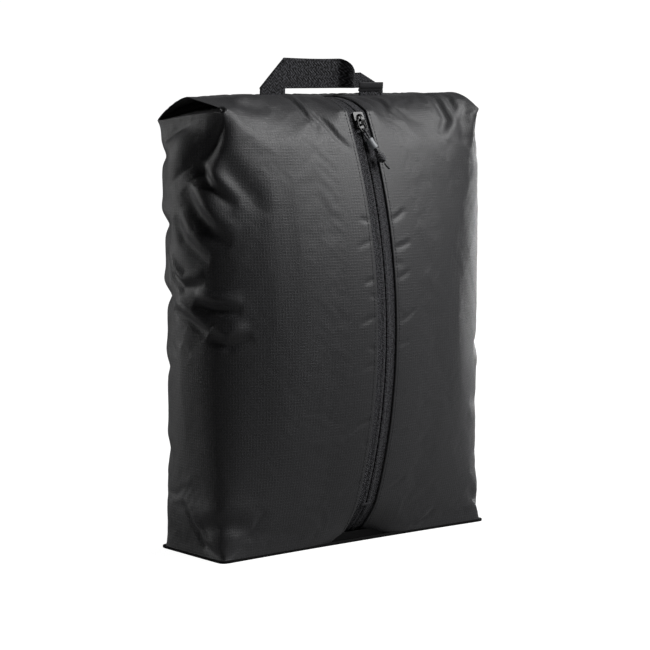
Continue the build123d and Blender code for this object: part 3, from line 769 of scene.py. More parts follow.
def settle(points, held_share):
    """Runs the wrap as cloth and gives back where its points are after the last frame."""
    places = np.stack(np.meshgrid(around, upward), -1)
    sheet = strip_mesh("settling_wrap", points, places, RIPSTOP)
    held = sheet.vertex_groups.new(name="held")
    levels = np.round(held_share.reshape(-1), 2)
    for level in np.unique(levels):
        held.add(np.flatnonzero(levels == level).tolist(), float(level), "REPLACE")
    cloth = sheet.modifiers.new("cloth", "CLOTH")
    cloth.point_cache.frame_start, cloth.point_cache.frame_end = 1, SETTLE_FRAMES
    stuff = cloth.settings
    stuff.quality = 5
    stuff.mass = 0.02
    stuff.tension_stiffness = stuff.compression_stiffness = 12
    stuff.shear_stiffness = 4
    stuff.bending_stiffness = 0.01
    stuff.shrink_min = stuff.shrink_max = -0.025
    stuff.use_pressure = True
    stuff.uniform_pressure_force = 1.5
    stuff.vertex_group_mass = "held"
    stuff.effector_weights.gravity = 0.1
    for frame_number in range(1, SETTLE_FRAMES + 1):
        scene.frame_set(frame_number)
    graph = bpy.context.evaluated_depsgraph_get()
    settled = sheet.evaluated_get(graph).to_mesh()
    out = np.empty(points.size)
    settled.vertices.foreach_get("co", out)
    scene.frame_set(1)
    bpy.data.objects.remove(sheet, do_unlink=True)
    return out.reshape(points.shape) / MM


near_zip = soft_step(34, 12, to_zip) + 0 * heights
near_hem = soft_step(12, 2, heights) + 0 * across_places
near_ridge = soft_step(SHOULDER + ROOF_RUN - 14, SHOULDER + ROOF_RUN - 2, heights) + 0 * across_places
FAINT_PULL = 0.04
held_share = [near_zip, near_hem, near_ridge, tucked_side * 1.0, 0 * near_zip + FAINT_PULL]
held_share = np.maximum.reduce(held_share)

# %% Keep the small waves
# Only part of each wave is kept, because the filled bag is taut: a fifth on the front, two fifths
# on the roof's front slope, and a half on the back and the right side. The left side keeps a fifth
# as well, because its creases are placed below.
left_side = soft_step(FRONT_RUN - 40, FRONT_RUN + 20, -across_places)
left_side = left_side * soft_step(FRONT_RUN + BASE_DEPTH + 50, FRONT_RUN + BASE_DEPTH, -across_places)
wavy = 0.2 + 0.3 * soft_step(FRONT_RUN - 30, FRONT_RUN + 40, to_zip) - 0.28 * left_side
wavy = wavy + 0.2 * soft_step(315, 352, heights) * soft_step(FRONT_RUN - 5, FRONT_RUN - 60, to_zip)
STEADY_SHARE = 0.6
moved = settle(filled, held_share) - filled
steady_share = STEADY_SHARE + 0 * wavy
steady = rounded(moved, ROUNDING_PASSES, steady_share, steady_share)
waves = (moved - steady) * ((1 - held_share) * wavy)[..., None]
wave_sizes = np.percentile(np.linalg.norm(waves, axis=-1), [50, 100])
print("waves, mm: middle and largest", np.round(wave_sizes, 2))
filled = filled + waves

# %% [markdown]
# ## A finer grid
#
# The creases are only a few millimetres wide, so the grid is doubled both ways before they are
# pressed in. New points lie on the smooth curve through their neighbours.


# %% Finer grid
fine = finer(finer(filled, 0), 1)
fine_across = finer(np.broadcast_to(around, (2, len(around))).copy()[..., None], 1)[0, :, 0]
fine_up = finer(upward[:, None], 0)[:, 0]
flat = np.stack(np.meshgrid(fine_across, fine_up), -1)
print("fine grid", fine.shape[:2])

# %% [markdown]
# ## Creases
#
# Thin coated cloth keeps sharp folds where it is drawn together: at the shoulder corners, down the
# side where the panels are pulled in, over the base corners and in short puckers along the zip.
# Each crease is a line on the flat cloth. The cloth sinks along the line, and rises in a lip on one
# side of it, as a real fold does. They are listed one by one and not simulated, so that each one lies
# where this bag has it. Places are millimetres from the zip's fold, minus to the left, and
# millimetres up from the base seam.


# %% One crease
def crease(lift, route, width, depth, lip, ends=0.7):
    """Adds one crease to the lift of the cloth: its line, how wide and deep it is, and its lip.

    A low ends keeps it deep almost to its two ends. A depth below 0 makes a bulge.
    """
    nearest = np.full(lift.shape, 1e9)
    signed, share = np.zeros(lift.shape), np.zeros(lift.shape)
    route = np.array(route, float)
    runs = np.linalg.norm(np.diff(route, axis=0), axis=1)
    start = np.concatenate([[0], np.cumsum(runs)]) / runs.sum()
    for k, (a, b) in enumerate(zip(route, route[1:])):
        ahead = (b - a) / runs[k]
        dx, dz = from_zip - a[0], cloth_up - a[1]
        along = np.clip(dx * ahead[0] + dz * ahead[1], 0, runs[k])
        off_x, off_z = dx - along * ahead[0], dz - along * ahead[1]
        distance = np.hypot(off_x, off_z)
        closer = distance < nearest
        nearest = np.where(closer, distance, nearest)
        signed = np.where(closer, ahead[0] * dz - ahead[1] * dx, signed)
        share = np.where(closer, start[k] + along / runs.sum(), share)
    taper = np.clip(np.sin(math.pi * np.clip(share, 0, 1)), 0, 1) ** ends
    reach = np.where((share > 0.001) & (share < 0.999), nearest, nearest * 1.6)
    side = np.where(signed > 0, 1, -1) * reach / width
    valley = np.exp(-(side**2))
    raised = np.exp(-((side - 1.7) ** 2))
    lift += taper * depth * (lip * raised - valley)


from_zip = np.where(flat[..., 0] < girth / 2, flat[..., 0], flat[..., 0] - girth)
cloth_up = flat[..., 1]
lift = np.zeros(from_zip.shape)
print("creases reach from", round(from_zip.min()), "to", round(from_zip.max()), "mm round the bag")

# %% Where the creases are
# Each row: the line, its width, its depth, its lip, and sometimes its ends.
# Down from the left shoulder corner, where the side is folded in above.
LEFT_SHOULDER = [
    ([(-121, 352), (-130, 332), (-141, 310), (-146, 292)], 12.0, 6.0, 0.1, 0.5),
    ([(-176, 336), (-170, 320), (-160, 306)], 17.0, -5.0, 0.0),
    ([(-152, 309), (-141, 300), (-126, 290), (-107, 276)], 5.0, 4.0, 0.3),
    ([(-125, 322), (-112, 304), (-96, 285), (-88, 268)], 8.0, 2.4, 0.2),
    ([(-160, 290), (-146, 272), (-130, 258), (-114, 246)], 7.0, 3.6, 0.8),
    ([(-172, 268), (-160, 250), (-144, 240), (-132, 236)], 6.0, 2.6, 0.7),
]
# Across the left side, half way up.
LEFT_SIDE = [
    ([(-190, 240), (-176, 222), (-162, 213), (-138, 216)], 4.2, 3.2, 1.0),
    ([(-150, 202), (-130, 198), (-107, 197)], 4.6, 3.8, 0.7),
    ([(-176, 196), (-156, 188), (-136, 178)], 4.2, 2.8, 0.9),
    ([(-136, 176), (-118, 170), (-100, 178)], 4.8, 2.8, 0.9),
    ([(-112, 215), (-116, 190), (-112, 160)], 10.0, -1.4, 0.0),
]
# The side's back edge is drawn in at five heights: how high, how far along, and how deep.
BACK_EDGE = [(318, 16, 3.0), (262, 18, 4.0), (206, 18, 4.5), (150, 14, 2.5), (84, 14, 1.6)]
# Over the left base corner.
LEFT_BASE_CORNER = [
    ([(-172, 44), (-158, 24), (-148, 11), (-124, 2)], 3.2, 2.4, 0.5),
    ([(-86, 40), (-96, 23), (-106, 13), (-120, 2)], 3.2, 2.0, -0.4),
    ([(-156, 24), (-126, 29), (-97, 28)], 7.0, 2.8, 0.2, 0.6),
]
# From the handle's foot and the ridge down towards the slider.
ROOF = [
    ([(-44, 376), (-39, 360), (-37, 347), (-28, 333)], 2.6, 1.5, 0.6),
    ([(-30, 352), (-24, 343), (-16, 328), (-5, 317)], 2.6, 1.5, 0.5),
    ([(-22, 372), (-14, 358), (-6, 350)], 3.0, 0.8, 0.5),
    ([(10, 378), (16, 362), (18, 346)], 3.5, 1.2, 0.5),
    ([(26, 384), (32, 366), (30, 350)], 4.0, 1.2, 0.5),
    ([(-112, 372), (-90, 362), (-66, 356)], 7.0, 1.6, 0.4),
]
# Under the right shoulder, and down the right edge to the base.
RIGHT = [
    ([(86, 376), (91, 362), (89, 342), (74, 328)], 4.5, 2.4, 0.5),
    ([(106, 370), (102, 354), (96, 342)], 4.0, 1.6, 0.5),
    ([(118, 356), (108, 344), (98, 318)], 6.0, 2.0, 0.5),
    ([(132, 160), (118, 152), (104, 150)], 7.0, 2.2, 0.4),
    ([(128, 96), (116, 104), (98, 108)], 7.0, 1.4, 0.4),
    ([(42, 3), (56, 9), (67, 18)], 2.6, 1.3, 0.6),
    ([(134, 4), (122, 18), (100, 30)], 5.0, 1.6, 0.5),
]
# Puckers where the cloth is gathered a little on to the zip: height, reach, rise and depth.
PUCKERS_LEFT = [(262, 9, 3, 1.0), (247, 14, -5, 0.7), (217, 11, -3, 0.9), (203, 7, 2, 0.6)]
PUCKERS_LEFT += [(188, 16, -6, 0.9), (161, 9, 3, 0.7), (150, 13, -4, 0.8), (106, 26, -15, 1.2)]
PUCKERS_LEFT += [(84, 8, 3, 0.4), (54, 20, -10, 0.8)]
PUCKERS_RIGHT = [(262, 17, 8, 1.3), (240, 19, 5, 1.2), (229, 8, -2, 0.6), (216, 15, 6, 0.9)]
PUCKERS_RIGHT += [(190, 7, -3, 0.5), (182, 20, 9, 1.0), (163, 12, 4, 0.8), (121, 10, 5, 0.6)]
PUCKERS_RIGHT += [(88, 17, 6, 0.5), (40, 24, 12, 1.0)]

# %% Press the creases in
for row in LEFT_SHOULDER + LEFT_SIDE:
    crease(lift, *row)
for height, reach, depth in BACK_EDGE:
    line = [(-230, height + 6), (-208, height), (-208 + reach * 1.6, height - 6)]
    crease(lift, line, 7.0, depth, 0.4)
for row in LEFT_BASE_CORNER + ROOF + RIGHT:
    crease(lift, *row)
for side, puckers in ((-1, PUCKERS_LEFT), (1, PUCKERS_RIGHT)):
    for height, reach, rise, depth in puckers:
        middle = (side * reach / 2, height + rise * 0.35)
        line = [(side * 1.0, height), middle, (side * reach, height + rise)]
        crease(lift, line, 2.2, depth * 0.75, 0.2, 0.5)
fine = fine + outward(fine) * lift[..., None]
print("creases, mm: deepest", round(lift.min(), 1), "highest", round(lift.max(), 1))

# %% [markdown]
# ## The folds beside the zip
#
# The cloth's edges are folded under along the zip and stitched to the tape. A raw edge of a sheet
# would look like card. So each fold is a small roll: the sheet goes on round a half circle and
# back under itself.

# %% Folded edges
ROLL_RADIUS = 0.75


def folded_edge(points, flat_places, at_start):
    """Columns that carry the sheet round a small roll and back under it."""
    edge, inner = (points[:, 0], points[:, 3]) if at_start else (points[:, -1], points[:, -4])
    outwards = unit(edge - inner)
    normal = outward(points)[:, 1 if at_start else -2]
    new_points, new_flat = [], []
    flat_edge = flat_places[:, 0] if at_start else flat_places[:, -1]
    sign = -1 if at_start else 1
    for angle in np.radians([30, 60, 90, 120, 150, 180]):
        roll = outwards * ROLL_RADIUS * math.sin(angle) - normal * ROLL_RADIUS * (1 - math.cos(angle))
        new_points.append(edge + roll)
        new_flat.append(flat_edge + [sign * ROLL_RADIUS * angle, 0])
    for back in (2.0, 4.5):
        new_points.append(edge - normal * 2 * ROLL_RADIUS - outwards * back)
        new_flat.append(flat_edge + [sign * (ROLL_RADIUS * math.pi + back), 0])
    new_points, new_flat = np.stack(new_points, 1), np.stack(new_flat, 1)
    if at_start:
        return np.hstack([new_points[:, ::-1], points]), np.hstack([new_flat[:, ::-1], flat_places])
    return np.hstack([points, new_points]), np.hstack([flat_places, new_flat])


# %% The wrap
CLOTH_THICK = 0.45
wrap_points, wrap_flat = folded_edge(fine, flat, True)
wrap_points, wrap_flat = folded_edge(wrap_points, wrap_flat, False)
wrap = strip_mesh("ripstop_wrap", wrap_points, wrap_flat, RIPSTOP)
thicken(wrap, CLOTH_THICK)
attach(wrap, "bag")
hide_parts("body_wrap")
print("wrap faces:", len(wrap.data.polygons))

# %% [markdown]
# ## Zip tapes
#
# Each tape is a flat twill strip. The coil is sewn to its back, so from outside the tape shows a
# low ridge over the coil and then drops into the groove where the two tapes meet. One section is
# carried up the zip's line, which follows every bend better than a straight strip bent by a
# modifier.

# %% The tape's section
# Across from the groove, and out from the zip's line.
TAPE_PROFILE = [(0.3, -2.7), (0.45, -1.7), (0.8, -1.3), (1.5, -1.15), (2.6, -1.1), (3.4, -1.2)]
TAPE_PROFILE += [(3.9, -1.5), (4.6, -1.62), (6.0, -1.6), (8.0, -1.62), (10.0, -1.7)]
TAPE_PROFILE += [(11.0, -1.9), (13.0, -2.05), (15.2, -2.05)]


# %% The zip's line
def zip_path(step=1.5):
    """Points up the zip's line, with the direction out of the cloth at each, and the run so far."""
    low, high = [math.asin((z - ZIP_Z) / ZIP_RADIUS) for z in (0.0, SHOULDER)]
    places, outs = [], []
    for angle in np.linspace(low, high, int((high - low) * ZIP_RADIUS / step)):
        out = np.array([0, -math.cos(angle), math.sin(angle)])
        places.append(np.array([0, ZIP_Y, ZIP_Z]) + ZIP_RADIUS * out)
        outs.append(out)
    for y in np.linspace(FOOT_Y, 1.0, 26)[1:]:
        z = roof_line(y)
        places.append(np.array([0, -y, z]))
        outs.append(unit(np.array([0, -y, z - ROOF_CENTRE])))
    places, outs = np.array(places), np.array(outs)
    for _ in range(10):
        outs[1:-1] = unit((outs[:-2] + outs[1:-1] + outs[2:]) / 3)
    shift_y, shift_z = foot_tuck(0 * places[:, 2], places[:, 2])
    places[:, 1] += shift_y
    places[:, 2] += shift_z
    return places, outs, run_along(places)


path, path_out, path_run = zip_path()
print("the zip runs", round(path_run[-1]), "mm from the base to the ridge")

# %% Tapes
for side, name in ((-1, "left"), (1, "right")):
    section = TAPE_PROFILE if side == 1 else TAPE_PROFILE[::-1]
    across = np.array([[side * x, 0, 0] for x, _ in section])
    depth = np.array([d for _, d in section])
    points = path[:, None] + across[None] + path_out[:, None] * depth[None, :, None]
    flat_tape = np.stack(np.meshgrid(across[:, 0], path_run), -1)
    tape = strip_mesh(f"zip_tape_{name}_woven", points, flat_tape, ZIP_TAPE)
    thicken(tape, 0.5)
    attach(tape, "bag")
    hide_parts(f"zip_tape_{name}")

# %% [markdown]
# ## The coil
#
# Behind the tapes a nylon line is wound into a flat spiral, one on each tape, and the two mesh.
# Only a glint of it shows in the groove, so each is a narrow tube that swells at every turn, and
# not a true spiral, which would take ten times the faces.

# %% Coils
COIL_PITCH, COIL_FOOT = 1.35, 9
has_coil = (path[:, 2] > COIL_FOOT) & (path[:, 2] < SHOULDER)
coil_steps = np.arange(has_coil.sum())
fine_steps = np.linspace(0, len(coil_steps) - 1, len(coil_steps) * 5)
coil_points = between(fine_steps, coil_steps, path[has_coil])
coil_outs = between(fine_steps, coil_steps, path_out[has_coil])
coil_run = run_along(coil_points)
print("turns on each coil:", round(coil_run[-1] / COIL_PITCH))
for side, name in ((-1, "left"), (1, "right")):
    shift = 0 if side == 1 else COIL_PITCH / 2
    swell = 0.72 + 0.28 * np.abs(np.sin(math.pi * (coil_run + shift) / COIL_PITCH))
    angles = np.linspace(0, 2 * math.pi, 10, endpoint=False)
    middle = coil_points + coil_outs * -2.95 + np.array([side * 1.75, 0, 0])
    ring_x, ring_out = 1.15 * np.cos(angles), 0.85 * np.sin(angles)
    points = middle[:, None] + swell[:, None, None] * (
        ring_x[None, :, None] * np.array([1.0, 0, 0]) + ring_out[None, :, None] * coil_outs[:, None]
    )
    flat_coil = np.stack(np.meshgrid(np.linspace(0, 6, 11), coil_run), -1)
    coil = strip_mesh(f"zip_coil_{name}_wound", points, flat_coil, NYLON_COIL, round_and_back=True)
    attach(coil, "bag")
    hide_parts(f"zip_coil_{name}")

# %% [markdown]
# ## Base panel
#
# The base is a second piece of the same cloth, sewn to the foot of the wrap all the way round. It
# lies on the floor and takes its outline from the wrap's lowest row. Rings that shrink to the
# middle fill the outline evenly, where one large face would have no room for a weave.

# %% Base panel
BASE_LIFT = 0.3
base_middle = np.array([0, 0, BASE_LIFT])
rings, ring_flat = [], []
for share in (1.0, 0.985, 0.95, 0.85, 0.7, 0.5, 0.3, 0.1, 0.01):
    ring = base_middle + (base_outline - base_middle) * [share, share, 1]
    ring[:, 2] = BASE_LIFT + base_outline[:, 2] * share**4
    rings.append(ring)
    ring_flat.append(np.vstack([ring[:, :2], ring[:1, :2]]))
base = strip_mesh("ripstop_base_panel", np.array(rings), np.array(ring_flat), RIPSTOP, round_and_back=True)
thicken(base, CLOTH_THICK)
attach(base, "bag")
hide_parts("base_panel")
print("base outline, mm:", np.round(np.ptp(base_outline[:, :2], axis=0), 1))

# %% [markdown]
# ## Handle
#
# One length of 25 mm webbing is sewn into the ridge at both ends. Above each foot it is folded
# over at 45 degrees, so that the band between them lies level. Three flat plates would give the
# outline but no folds. So the band is laid out flat first, and then each end is folded round a
# small roll, which keeps its length as real webbing does.

# %% Handle's sizes
WEB, WEB_THICK = 25.0, 1.6
FOOT_LEFT, FOOT_RIGHT = -65.0, 33.0
HINGE, BAND_LOW, BAND_HIGH, SEWN = 361.2, 365.6, 390.6, 347.0
FOLD = 0.85
# The ribs that the mesh raises: they turn back where the finish's ribs do, at their real pitch.
RIB_TURN, RIB_PITCH = 3.1, 1.5
# The band comes forward in a soft pleat before its right foot, where the fold has sprung open.
PLEAT, PLEAT_OUT, PLEAT_DROP = 20.0, 9.0, 0.48
BAND_SAG = 1.4
print("room under the band, mm:", round(BAND_LOW - RIDGE_HEIGHT, 1))


# %% A fold in a flat band
def folded_over(x, z, out, corner, direction, towards_front):
    """Folds the part of a flat band beyond a slanting line back over itself."""
    from_corner = (x - corner[0]) * direction[0] + (z - corner[1]) * direction[1]
    beyond = np.clip(from_corner, 0, None)
    angle = np.clip(beyond / FOLD, 0, math.pi)
    turn_radius = FOLD - out if towards_front else FOLD + out
    reach = turn_radius * np.sin(angle) - np.clip(beyond - math.pi * FOLD, 0, None)
    new_x = x + (reach - beyond) * direction[0]
    new_z = z + (reach - beyond) * direction[1]
    if towards_front:
        y = np.where(beyond > 0, -FOLD + turn_radius * np.cos(angle), -out)
    else:
        y = np.where(beyond > 0, FOLD - turn_radius * np.cos(angle), -out)
    return new_x, y, new_z


# %% The flat band
left_end, right_end = FOOT_LEFT - (BAND_LOW - SEWN), FOOT_RIGHT + WEB + (BAND_LOW - SEWN)
slant = math.sqrt(0.5)
# Each fold's roll takes a little webbing, so the band is longer by that much at each end.
roll_spare = math.pi * FOLD / slant
lengthwise = np.arange(left_end - roll_spare, right_end + roll_spare + 0.25, 0.5)
crosswise = np.linspace(-WEB / 2, WEB / 2, 46)
half = WEB_THICK / 2
front_face = [(w, half) for w in crosswise[1:-1]]
back_face = [(w, -half) for w in crosswise[::-1][1:-1]]
right_lip = [(WEB / 2 - 0.15, half * 0.75), (WEB / 2, 0.0), (WEB / 2 - 0.15, -half * 0.75)]
left_lip = [(-w, -o) for w, o in right_lip]
loop = np.array(front_face + right_lip + back_face + left_lip)
length_grid, width_grid = np.meshgrid(lengthwise, loop[:, 0], indexing="ij")
turned_back = np.abs(((width_grid / RIB_TURN) % 2) - 1) * RIB_TURN
ribs = np.abs(((length_grid + turned_back) / RIB_PITCH) % 1 - 0.5)
out_grid = np.broadcast_to(loop[:, 1], length_grid.shape) * (0.93 + 0.16 * ribs)
level = width_grid + (BAND_LOW + BAND_HIGH) / 2

# %% Fold both ends and let the band lie
x, y, z = folded_over(length_grid, level, out_grid, (FOOT_LEFT, BAND_LOW), (-slant, slant), True)
right_part = length_grid > 0
right_corner = (FOOT_RIGHT + WEB, BAND_LOW)
from_right = folded_over(length_grid, level, out_grid, right_corner, (slant, slant), False)
x, y, z = (np.where(right_part, r, l) for r, l in zip(from_right, (x, y, z)))
gap = soft_step(FOOT_LEFT + WEB, FOOT_RIGHT, x)
lies = 2 * FOLD * (1 - 2 * soft_step(0.0, 1.0, gap))
bow = -PLEAT_OUT * soft_step(PLEAT - 9, PLEAT, x) * soft_step(PLEAT + 6.5, PLEAT + 0.5, x)
on_band = z > BAND_LOW - 0.01
y = y + lies + bow
bent_down = PLEAT_DROP * np.clip((x - PLEAT + 8) / 10, 0, 1) ** 2
z = np.where(on_band, BAND_LOW + (z - BAND_LOW) * (1 - bent_down), z)
sag = BAND_SAG * np.sin(math.pi * np.clip((x - FOOT_LEFT) / (FOOT_RIGHT + WEB - FOOT_LEFT), 0, 1)) ** 2
z = z - np.where(on_band, sag, 0) * soft_step(BAND_LOW - 0.01, BAND_LOW + 3, z)

# %% The handle's mesh, which bends in a narrow band at its feet
handle_points = np.stack([x, y, z], -1)
loop_run = run_along(loop)
loop_run = np.append(loop_run, loop_run[-1] + np.linalg.norm(loop[0] - loop[-1]))
handle_flat = np.stack(np.meshgrid(loop_run, lengthwise), -1)
handle = strip_mesh("webbing_handle", handle_points, handle_flat, WEBBING, round_and_back=True)
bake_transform(handle)
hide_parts("handle_webbing", "handle_end_left", "handle_end_right")
print("webbing cut length, mm:", round(lengthwise[-1] - lengthwise[0], 1))

# %% [markdown]
# ## Label tab
#
# A short smooth tape lies across the right foot of the handle and is left blank. Its lower part
# lies on the foot and its upper part on the band, so it takes a soft step between the two. Its
# section is carried along the foot, and one subdivision softens the step.


# %% A section carried along a run
def bar_along(name, section, runs, flat_width, material):
    """A closed section carried along a run: section(place) gives its loop of points at each place."""
    loops = np.array([section(place) for place in runs])
    around_loop = np.linspace(0, flat_width, loops.shape[1] + 1)
    flat_bar = np.stack(np.meshgrid(around_loop, np.asarray(runs, float)), -1)
    return strip_mesh(name, loops, flat_bar, material, round_and_back=True)


# %% Blank label
LABEL_LOW, LABEL_HIGH, LABEL_THICK = 362.9, 370.3, 0.75


def label_section(x):
    edge = 1 - abs(2 * (x - FOOT_RIGHT) / WEB - 1) ** 8 * 0.5
    inner = [(0.95, LABEL_LOW), (0.95, LABEL_LOW + 1.6), (1.5, BAND_LOW - 0.6), (2.6, BAND_LOW + 0.6)]
    inner += [(2.6, LABEL_HIGH - 1.5), (2.7, LABEL_HIGH)]
    outer = [(out + LABEL_THICK * edge, z + (0.15 if z < LABEL_LOW + 1 else 0)) for out, z in inner]
    outer[0] = (outer[0][0] - 0.15, LABEL_LOW + 0.05)
    return [(x, -out, z) for out, z in inner + outer[::-1]]


label_run = np.linspace(FOOT_RIGHT, FOOT_RIGHT + WEB, 40)
label = bar_along("blank_label_tab", label_section, label_run, 17, LABEL)
smooth = label.modifiers.new("soft folds", "SUBSURF")
smooth.levels = smooth.render_levels = 1
bake_modifiers(label)
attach(label, "handle")
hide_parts("label_tab")
print("label, mm:", WEB, "x", round(LABEL_HIGH - LABEL_LOW, 1))

# %% [markdown]
# ## Stitches
#
# Thread shows as a row of short rounded bars that dip into the cloth at both ends. A lockstitch on
# such a bag is about 3 mm long. A dashed line in the cloth's colour would be flat up close, so
# each stitch is a small mesh. One row holds each fold to its tape, and close zigzags, the bartacks,
# stop the slider and hold the ends of the webbing.


# %% A row of stitches
def run_of_stitches(name, line, outs, pitch, thread):
    """Stitches along a line of points, one mesh for the row."""
    run = run_along(line)
    loops, faces = [], []
    sides, rings = 6, 5
    angles = np.linspace(0, 2 * math.pi, sides, endpoint=False)
    for start in np.arange(1.0, run[-1] - pitch, pitch):
        spots = start + pitch * 0.8 * np.array([0, 0.12, 0.5, 0.88, 1.0])
        middle = between(spots, run, line)
        out = unit(between(spots, run, outs))
        ahead = unit(middle[-1] - middle[0])
        side = unit(np.cross(np.broadcast_to(ahead, out.shape), out))
        lift_off = thread * np.array([-1.2, 0.3, 0.75, 0.3, -1.2])
        fat = thread * np.array([0.5, 0.9, 1.0, 0.9, 0.5])
        ring = side[:, None] * np.cos(angles)[None, :, None] + out[:, None] * np.sin(angles)[None, :, None]
        loops.append((middle + out * lift_off[:, None])[:, None] + ring * fat[:, None, None])
    for first in range(0, len(loops) * rings * sides, rings * sides):
        for j in range(first, first + (rings - 1) * sides, sides):
            for i in range(sides):
                a, b = j + i, j + (i + 1) % sides
                faces.append((a, b, b + sides, a + sides))
        faces.append(tuple(first + i for i in range(sides - 1, -1, -1)))
        faces.append(tuple(first + (rings - 1) * sides + i for i in range(sides)))
    made = smooth_mesh(name, np.array(loops).reshape(-1, 3), faces, THREAD)
    return made


# %% Topstitching beside the zip
STITCH, STITCH_THREAD, STITCH_IN = 3.0, 0.24, 1.4
surface_out = outward(fine)
for name, place in (("left", fine.shape[1] - 1 - STITCH_IN), ("right", STITCH_IN)):
    low_col = int(math.floor(place))
    part = place - low_col
    line = fine[5:-8, low_col] * (1 - part) + fine[5:-8, low_col + 1] * part
    row = run_of_stitches(f"zip_topstitch_{name}", line, surface_out[5:-8, low_col], STITCH, STITCH_THREAD)
    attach(row, "bag")
print("stitches on one fold:", int(run_along(line)[-1] / STITCH))


# %% Bartacks
def bartack(name, corner, across_to, up_to, turns, thread, node_name):
    """A close zigzag of thread over a small oblong, given by a corner and its two neighbours."""
    corner, across_to, up_to = (np.array(v, float) for v in (corner, across_to, up_to))
    line = []
    for k in range(turns * 2 + 1):
        share = k / (turns * 2)
        line.append(corner + (across_to - corner) * share + (up_to - corner) * (k % 2))
    dense = [a + (b - a) * t for a, b in zip(line, line[1:]) for t in (0.0, 0.33, 0.67)] + [line[-1]]
    made = tube_along(name, dense, thread, THREAD, sides=6)
    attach(made, "bag")
    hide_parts(node_name)


STOP_HEIGHT, STOP_HALF, STOP_TALL = 31.5, 4.4, 2.2
stop_angle = math.asin((STOP_HEIGHT - ZIP_Z) / ZIP_RADIUS)
stop_radius = ZIP_RADIUS - 0.75
stop_y, stop_z = ZIP_Y - stop_radius * math.cos(stop_angle), ZIP_Z + stop_radius * math.sin(stop_angle)
stop_corner = np.array([-STOP_HALF, stop_y, stop_z])
stop_up = np.array([0, math.sin(stop_angle), math.cos(stop_angle)]) * STOP_TALL
stop_across = (STOP_HALF, stop_y, stop_z)
bartack("zip_foot_bartack", stop_corner, stop_across, stop_corner + stop_up, 14, 0.34, "zip_bottom_stop")
TACK_LOW, TACK_HIGH, TACK_OUT = 349.2, 350.8, 2.3
for name, foot in (("left", FOOT_LEFT), ("right", FOOT_RIGHT)):
    for face, y_at in (("front", -TACK_OUT), ("back", TACK_OUT)):
        corner, across_to = (foot + 1, y_at, TACK_LOW), (foot + WEB - 1, y_at, TACK_LOW)
        up_to = (foot + 1, y_at, TACK_HIGH)
        tack = f"handle_bartack_{name}_{face}"
        bartack(tack, corner, across_to, up_to, 26, 0.3, f"handle_bartack_{name}")
print("bartacks: one at the zip's foot and four on the webbing's ends")

# %% [markdown]
# ## Bindings and the base seam
#
# Inside, the seam allowances of the base and the ridge are covered with a folded tape. Outside,
# along the base seam, a thin near-black roll is painted shadow: it stands for the dark gap under
# the hem, where the wrap and the base panel turn in together. The base's binding is a real tape
# drawn in the same near-black, and where it shows at the zip's foot that black is painted shade.
# All three are one soft-cornered section carried along a seam, which needs no bevelled boxes.


# %% A soft-cornered section
def rounded_bar(middle, wide, tall, turn_x, turn_y):
    """The loop of an oblong section with soft corners, wide one way and tall the other."""
    loop_points = []
    for a in np.linspace(0, 2 * math.pi, 16, endpoint=False):
        c, d = math.cos(a), math.sin(a)
        loop_points.append(
            middle
            + turn_x * (wide / 2 * math.copysign(abs(c) ** 0.5, c))
            + turn_y * (tall / 2 * math.copysign(abs(d) ** 0.5, d))
        )
    return loop_points


# %% The base seam and its binding
up = np.array([0.0, 0.0, 1.0])
hem_line = np.vstack([base_outline, base_outline[:1]])
hem_ahead = unit(np.gradient(hem_line, axis=0) * [1, 1, 0])
hem_out = np.stack([hem_ahead[:, 1], -hem_ahead[:, 0], 0 * hem_ahead[:, 0]], -1)
for _ in range(3):
    hem_out[1:-1] = unit((hem_out[:-2] + hem_out[1:-1] + hem_out[2:]) / 3)
# The roll is painted shadow: a near-black band along the foot that stands for the dark gap under the hem.
seam_shadow_roll = bar_along(
    "base_seam_painted_shadow_roll",
    lambda k: rounded_bar(hem_line[k] + up * 1.15 - hem_out[k] * 0.3, 2.6, 2.3, hem_out[k], up),
    range(len(hem_line)),
    6,
    SEAM_TAPE_AND_SHADOW,
)
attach(seam_shadow_roll, "bag")
# The base's binding is a real tape in the same near-black; where it shows at the zip's foot, that black is
# painted shade.
base_tape = bar_along(
    "base_seam_binding_tape",
    lambda k: rounded_bar(hem_line[k] + up * 5.0 - hem_out[k] * 3.2, 1.1, 6.4, hem_out[k], up),
    range(len(hem_line)),
    15,
    SEAM_TAPE_AND_SHADOW,
)
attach(base_tape, "bag")
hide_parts("base_seam_binding")
print("base seam runs", round(run_along(hem_line)[-1]), "mm round")


# %% The ridge's binding
def ridge_section(x):
    """The binding's section at a place along the ridge: it wanders and swells a little."""
    middle = np.array([x, 0.25 * math.sin(x / 17), 351.8])
    return rounded_bar(middle, 4.0, 12.0 + 0.4 * math.sin(x / 9), np.array([0, -1.0, 0]), up)


RIDGE_BINDING_HALF = 112
ridge_run = np.linspace(-RIDGE_BINDING_HALF, RIDGE_BINDING_HALF, 120)
ridge_tape = bar_along("ridge_seam_binding_tape", ridge_section, ridge_run, 32, BINDING)
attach(ridge_tape, "bag")
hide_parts("ridge_seam_binding")
print("ridge binding:", 2 * RIDGE_BINDING_HALF, "mm long")

# %% [markdown]
# ## Studio
#
# Black cloth shows its folds only where a light slides over them. So one large soft light stands
# above and to the right of the front, and two narrow ones at the sides and behind draw a pale line
# down each edge. The paper sweep runs from the floor up behind the bag in one curve, with no line.

# %% Floor and backdrop
SWEEP_HALF, SWEEP_BACK, SWEEP_CURVE, SWEEP_TOP = 6000, 1800, 900, 5000


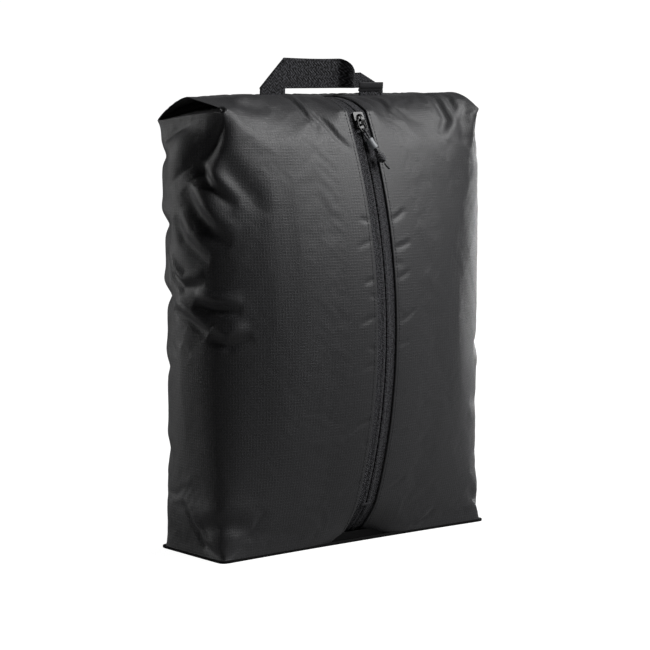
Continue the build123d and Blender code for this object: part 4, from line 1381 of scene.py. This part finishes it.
def studio_sweep():
    material, tree = empty_material("matt_white_paper")
    # The paper is lit to pure white for the lens, and sends little of that light back to the bag.
    seen = node(tree, "ShaderNodeLightPath").outputs["Is Camera Ray"]
    glow = node(tree, "ShaderNodeMath", {0: seen, 1: 0.95}, operation="MULTIPLY")
    glow = node(tree, "ShaderNodeMath", {0: 0.02, 1: glow}, operation="ADD")
    feeds = {"Base Color": colour("#8a8a8a"), "Roughness": 0.9}
    feeds |= {"Emission Color": colour("#ffffff"), "Emission Strength": glow}
    finished(material, feeds)
    run = [(-SWEEP_HALF, 0), (SWEEP_BACK, 0)]
    for a in np.linspace(0.1, math.pi / 2, 14):
        run.append((SWEEP_BACK + SWEEP_CURVE * math.sin(a), SWEEP_CURVE - SWEEP_CURVE * math.cos(a)))
    run += [(SWEEP_BACK + SWEEP_CURVE, SWEEP_TOP)]
    points = np.array([[(x, y, z) for x in (-SWEEP_HALF, SWEEP_HALF)] for y, z in run], float)
    turn = math.radians(-LOOK_ROUND)
    x, y = points[..., 0].copy(), points[..., 1].copy()
    points[..., 0] = x * math.cos(turn) - y * math.sin(turn)
    points[..., 1] = x * math.sin(turn) + y * math.cos(turn)
    sweep = strip_mesh("studio_sweep", points, points[..., :2] * 0.001, material)


studio_sweep()
print("sweep, m wide:", 2 * SWEEP_HALF * MM)


# %% Lights
def soft_light(name, place, aim, size, power):
    """An oblong area light, in metres and watts, that faces the point it is aimed at."""
    light = bpy.data.lights.new(name, "AREA")
    light.shape = "RECTANGLE"
    light.size, light.size_y = size
    light.energy = power
    made = placed(name, light)
    made.location = place
    made.rotation_euler = (Vector(aim) - Vector(place)).to_track_quat("-Z", "Y").to_euler()


soft_light("key", (1.15, -1.3, 1.65), (0, 0, 0.3), (1.6, 0.8), 53)
soft_light("rim_left", (-1.0, 1.5, 0.5), (-0.13, 0, 0.2), (0.2, 1.2), 9)
soft_light("rim_right", (1.7, 0.5, 0.2), (0.13, 0, 0.1), (0.2, 0.7), 9)

# %% The room's own faint light, and plain view colours
world = bpy.data.worlds.new("studio")
scene.world = world
world.use_nodes = True
world.node_tree.nodes["Background"].inputs[0].default_value = (1, 1, 1, 1)
world.node_tree.nodes["Background"].inputs[1].default_value = 0.01
scene.view_settings.view_transform = "Standard"
print("view:", scene.view_settings.view_transform)
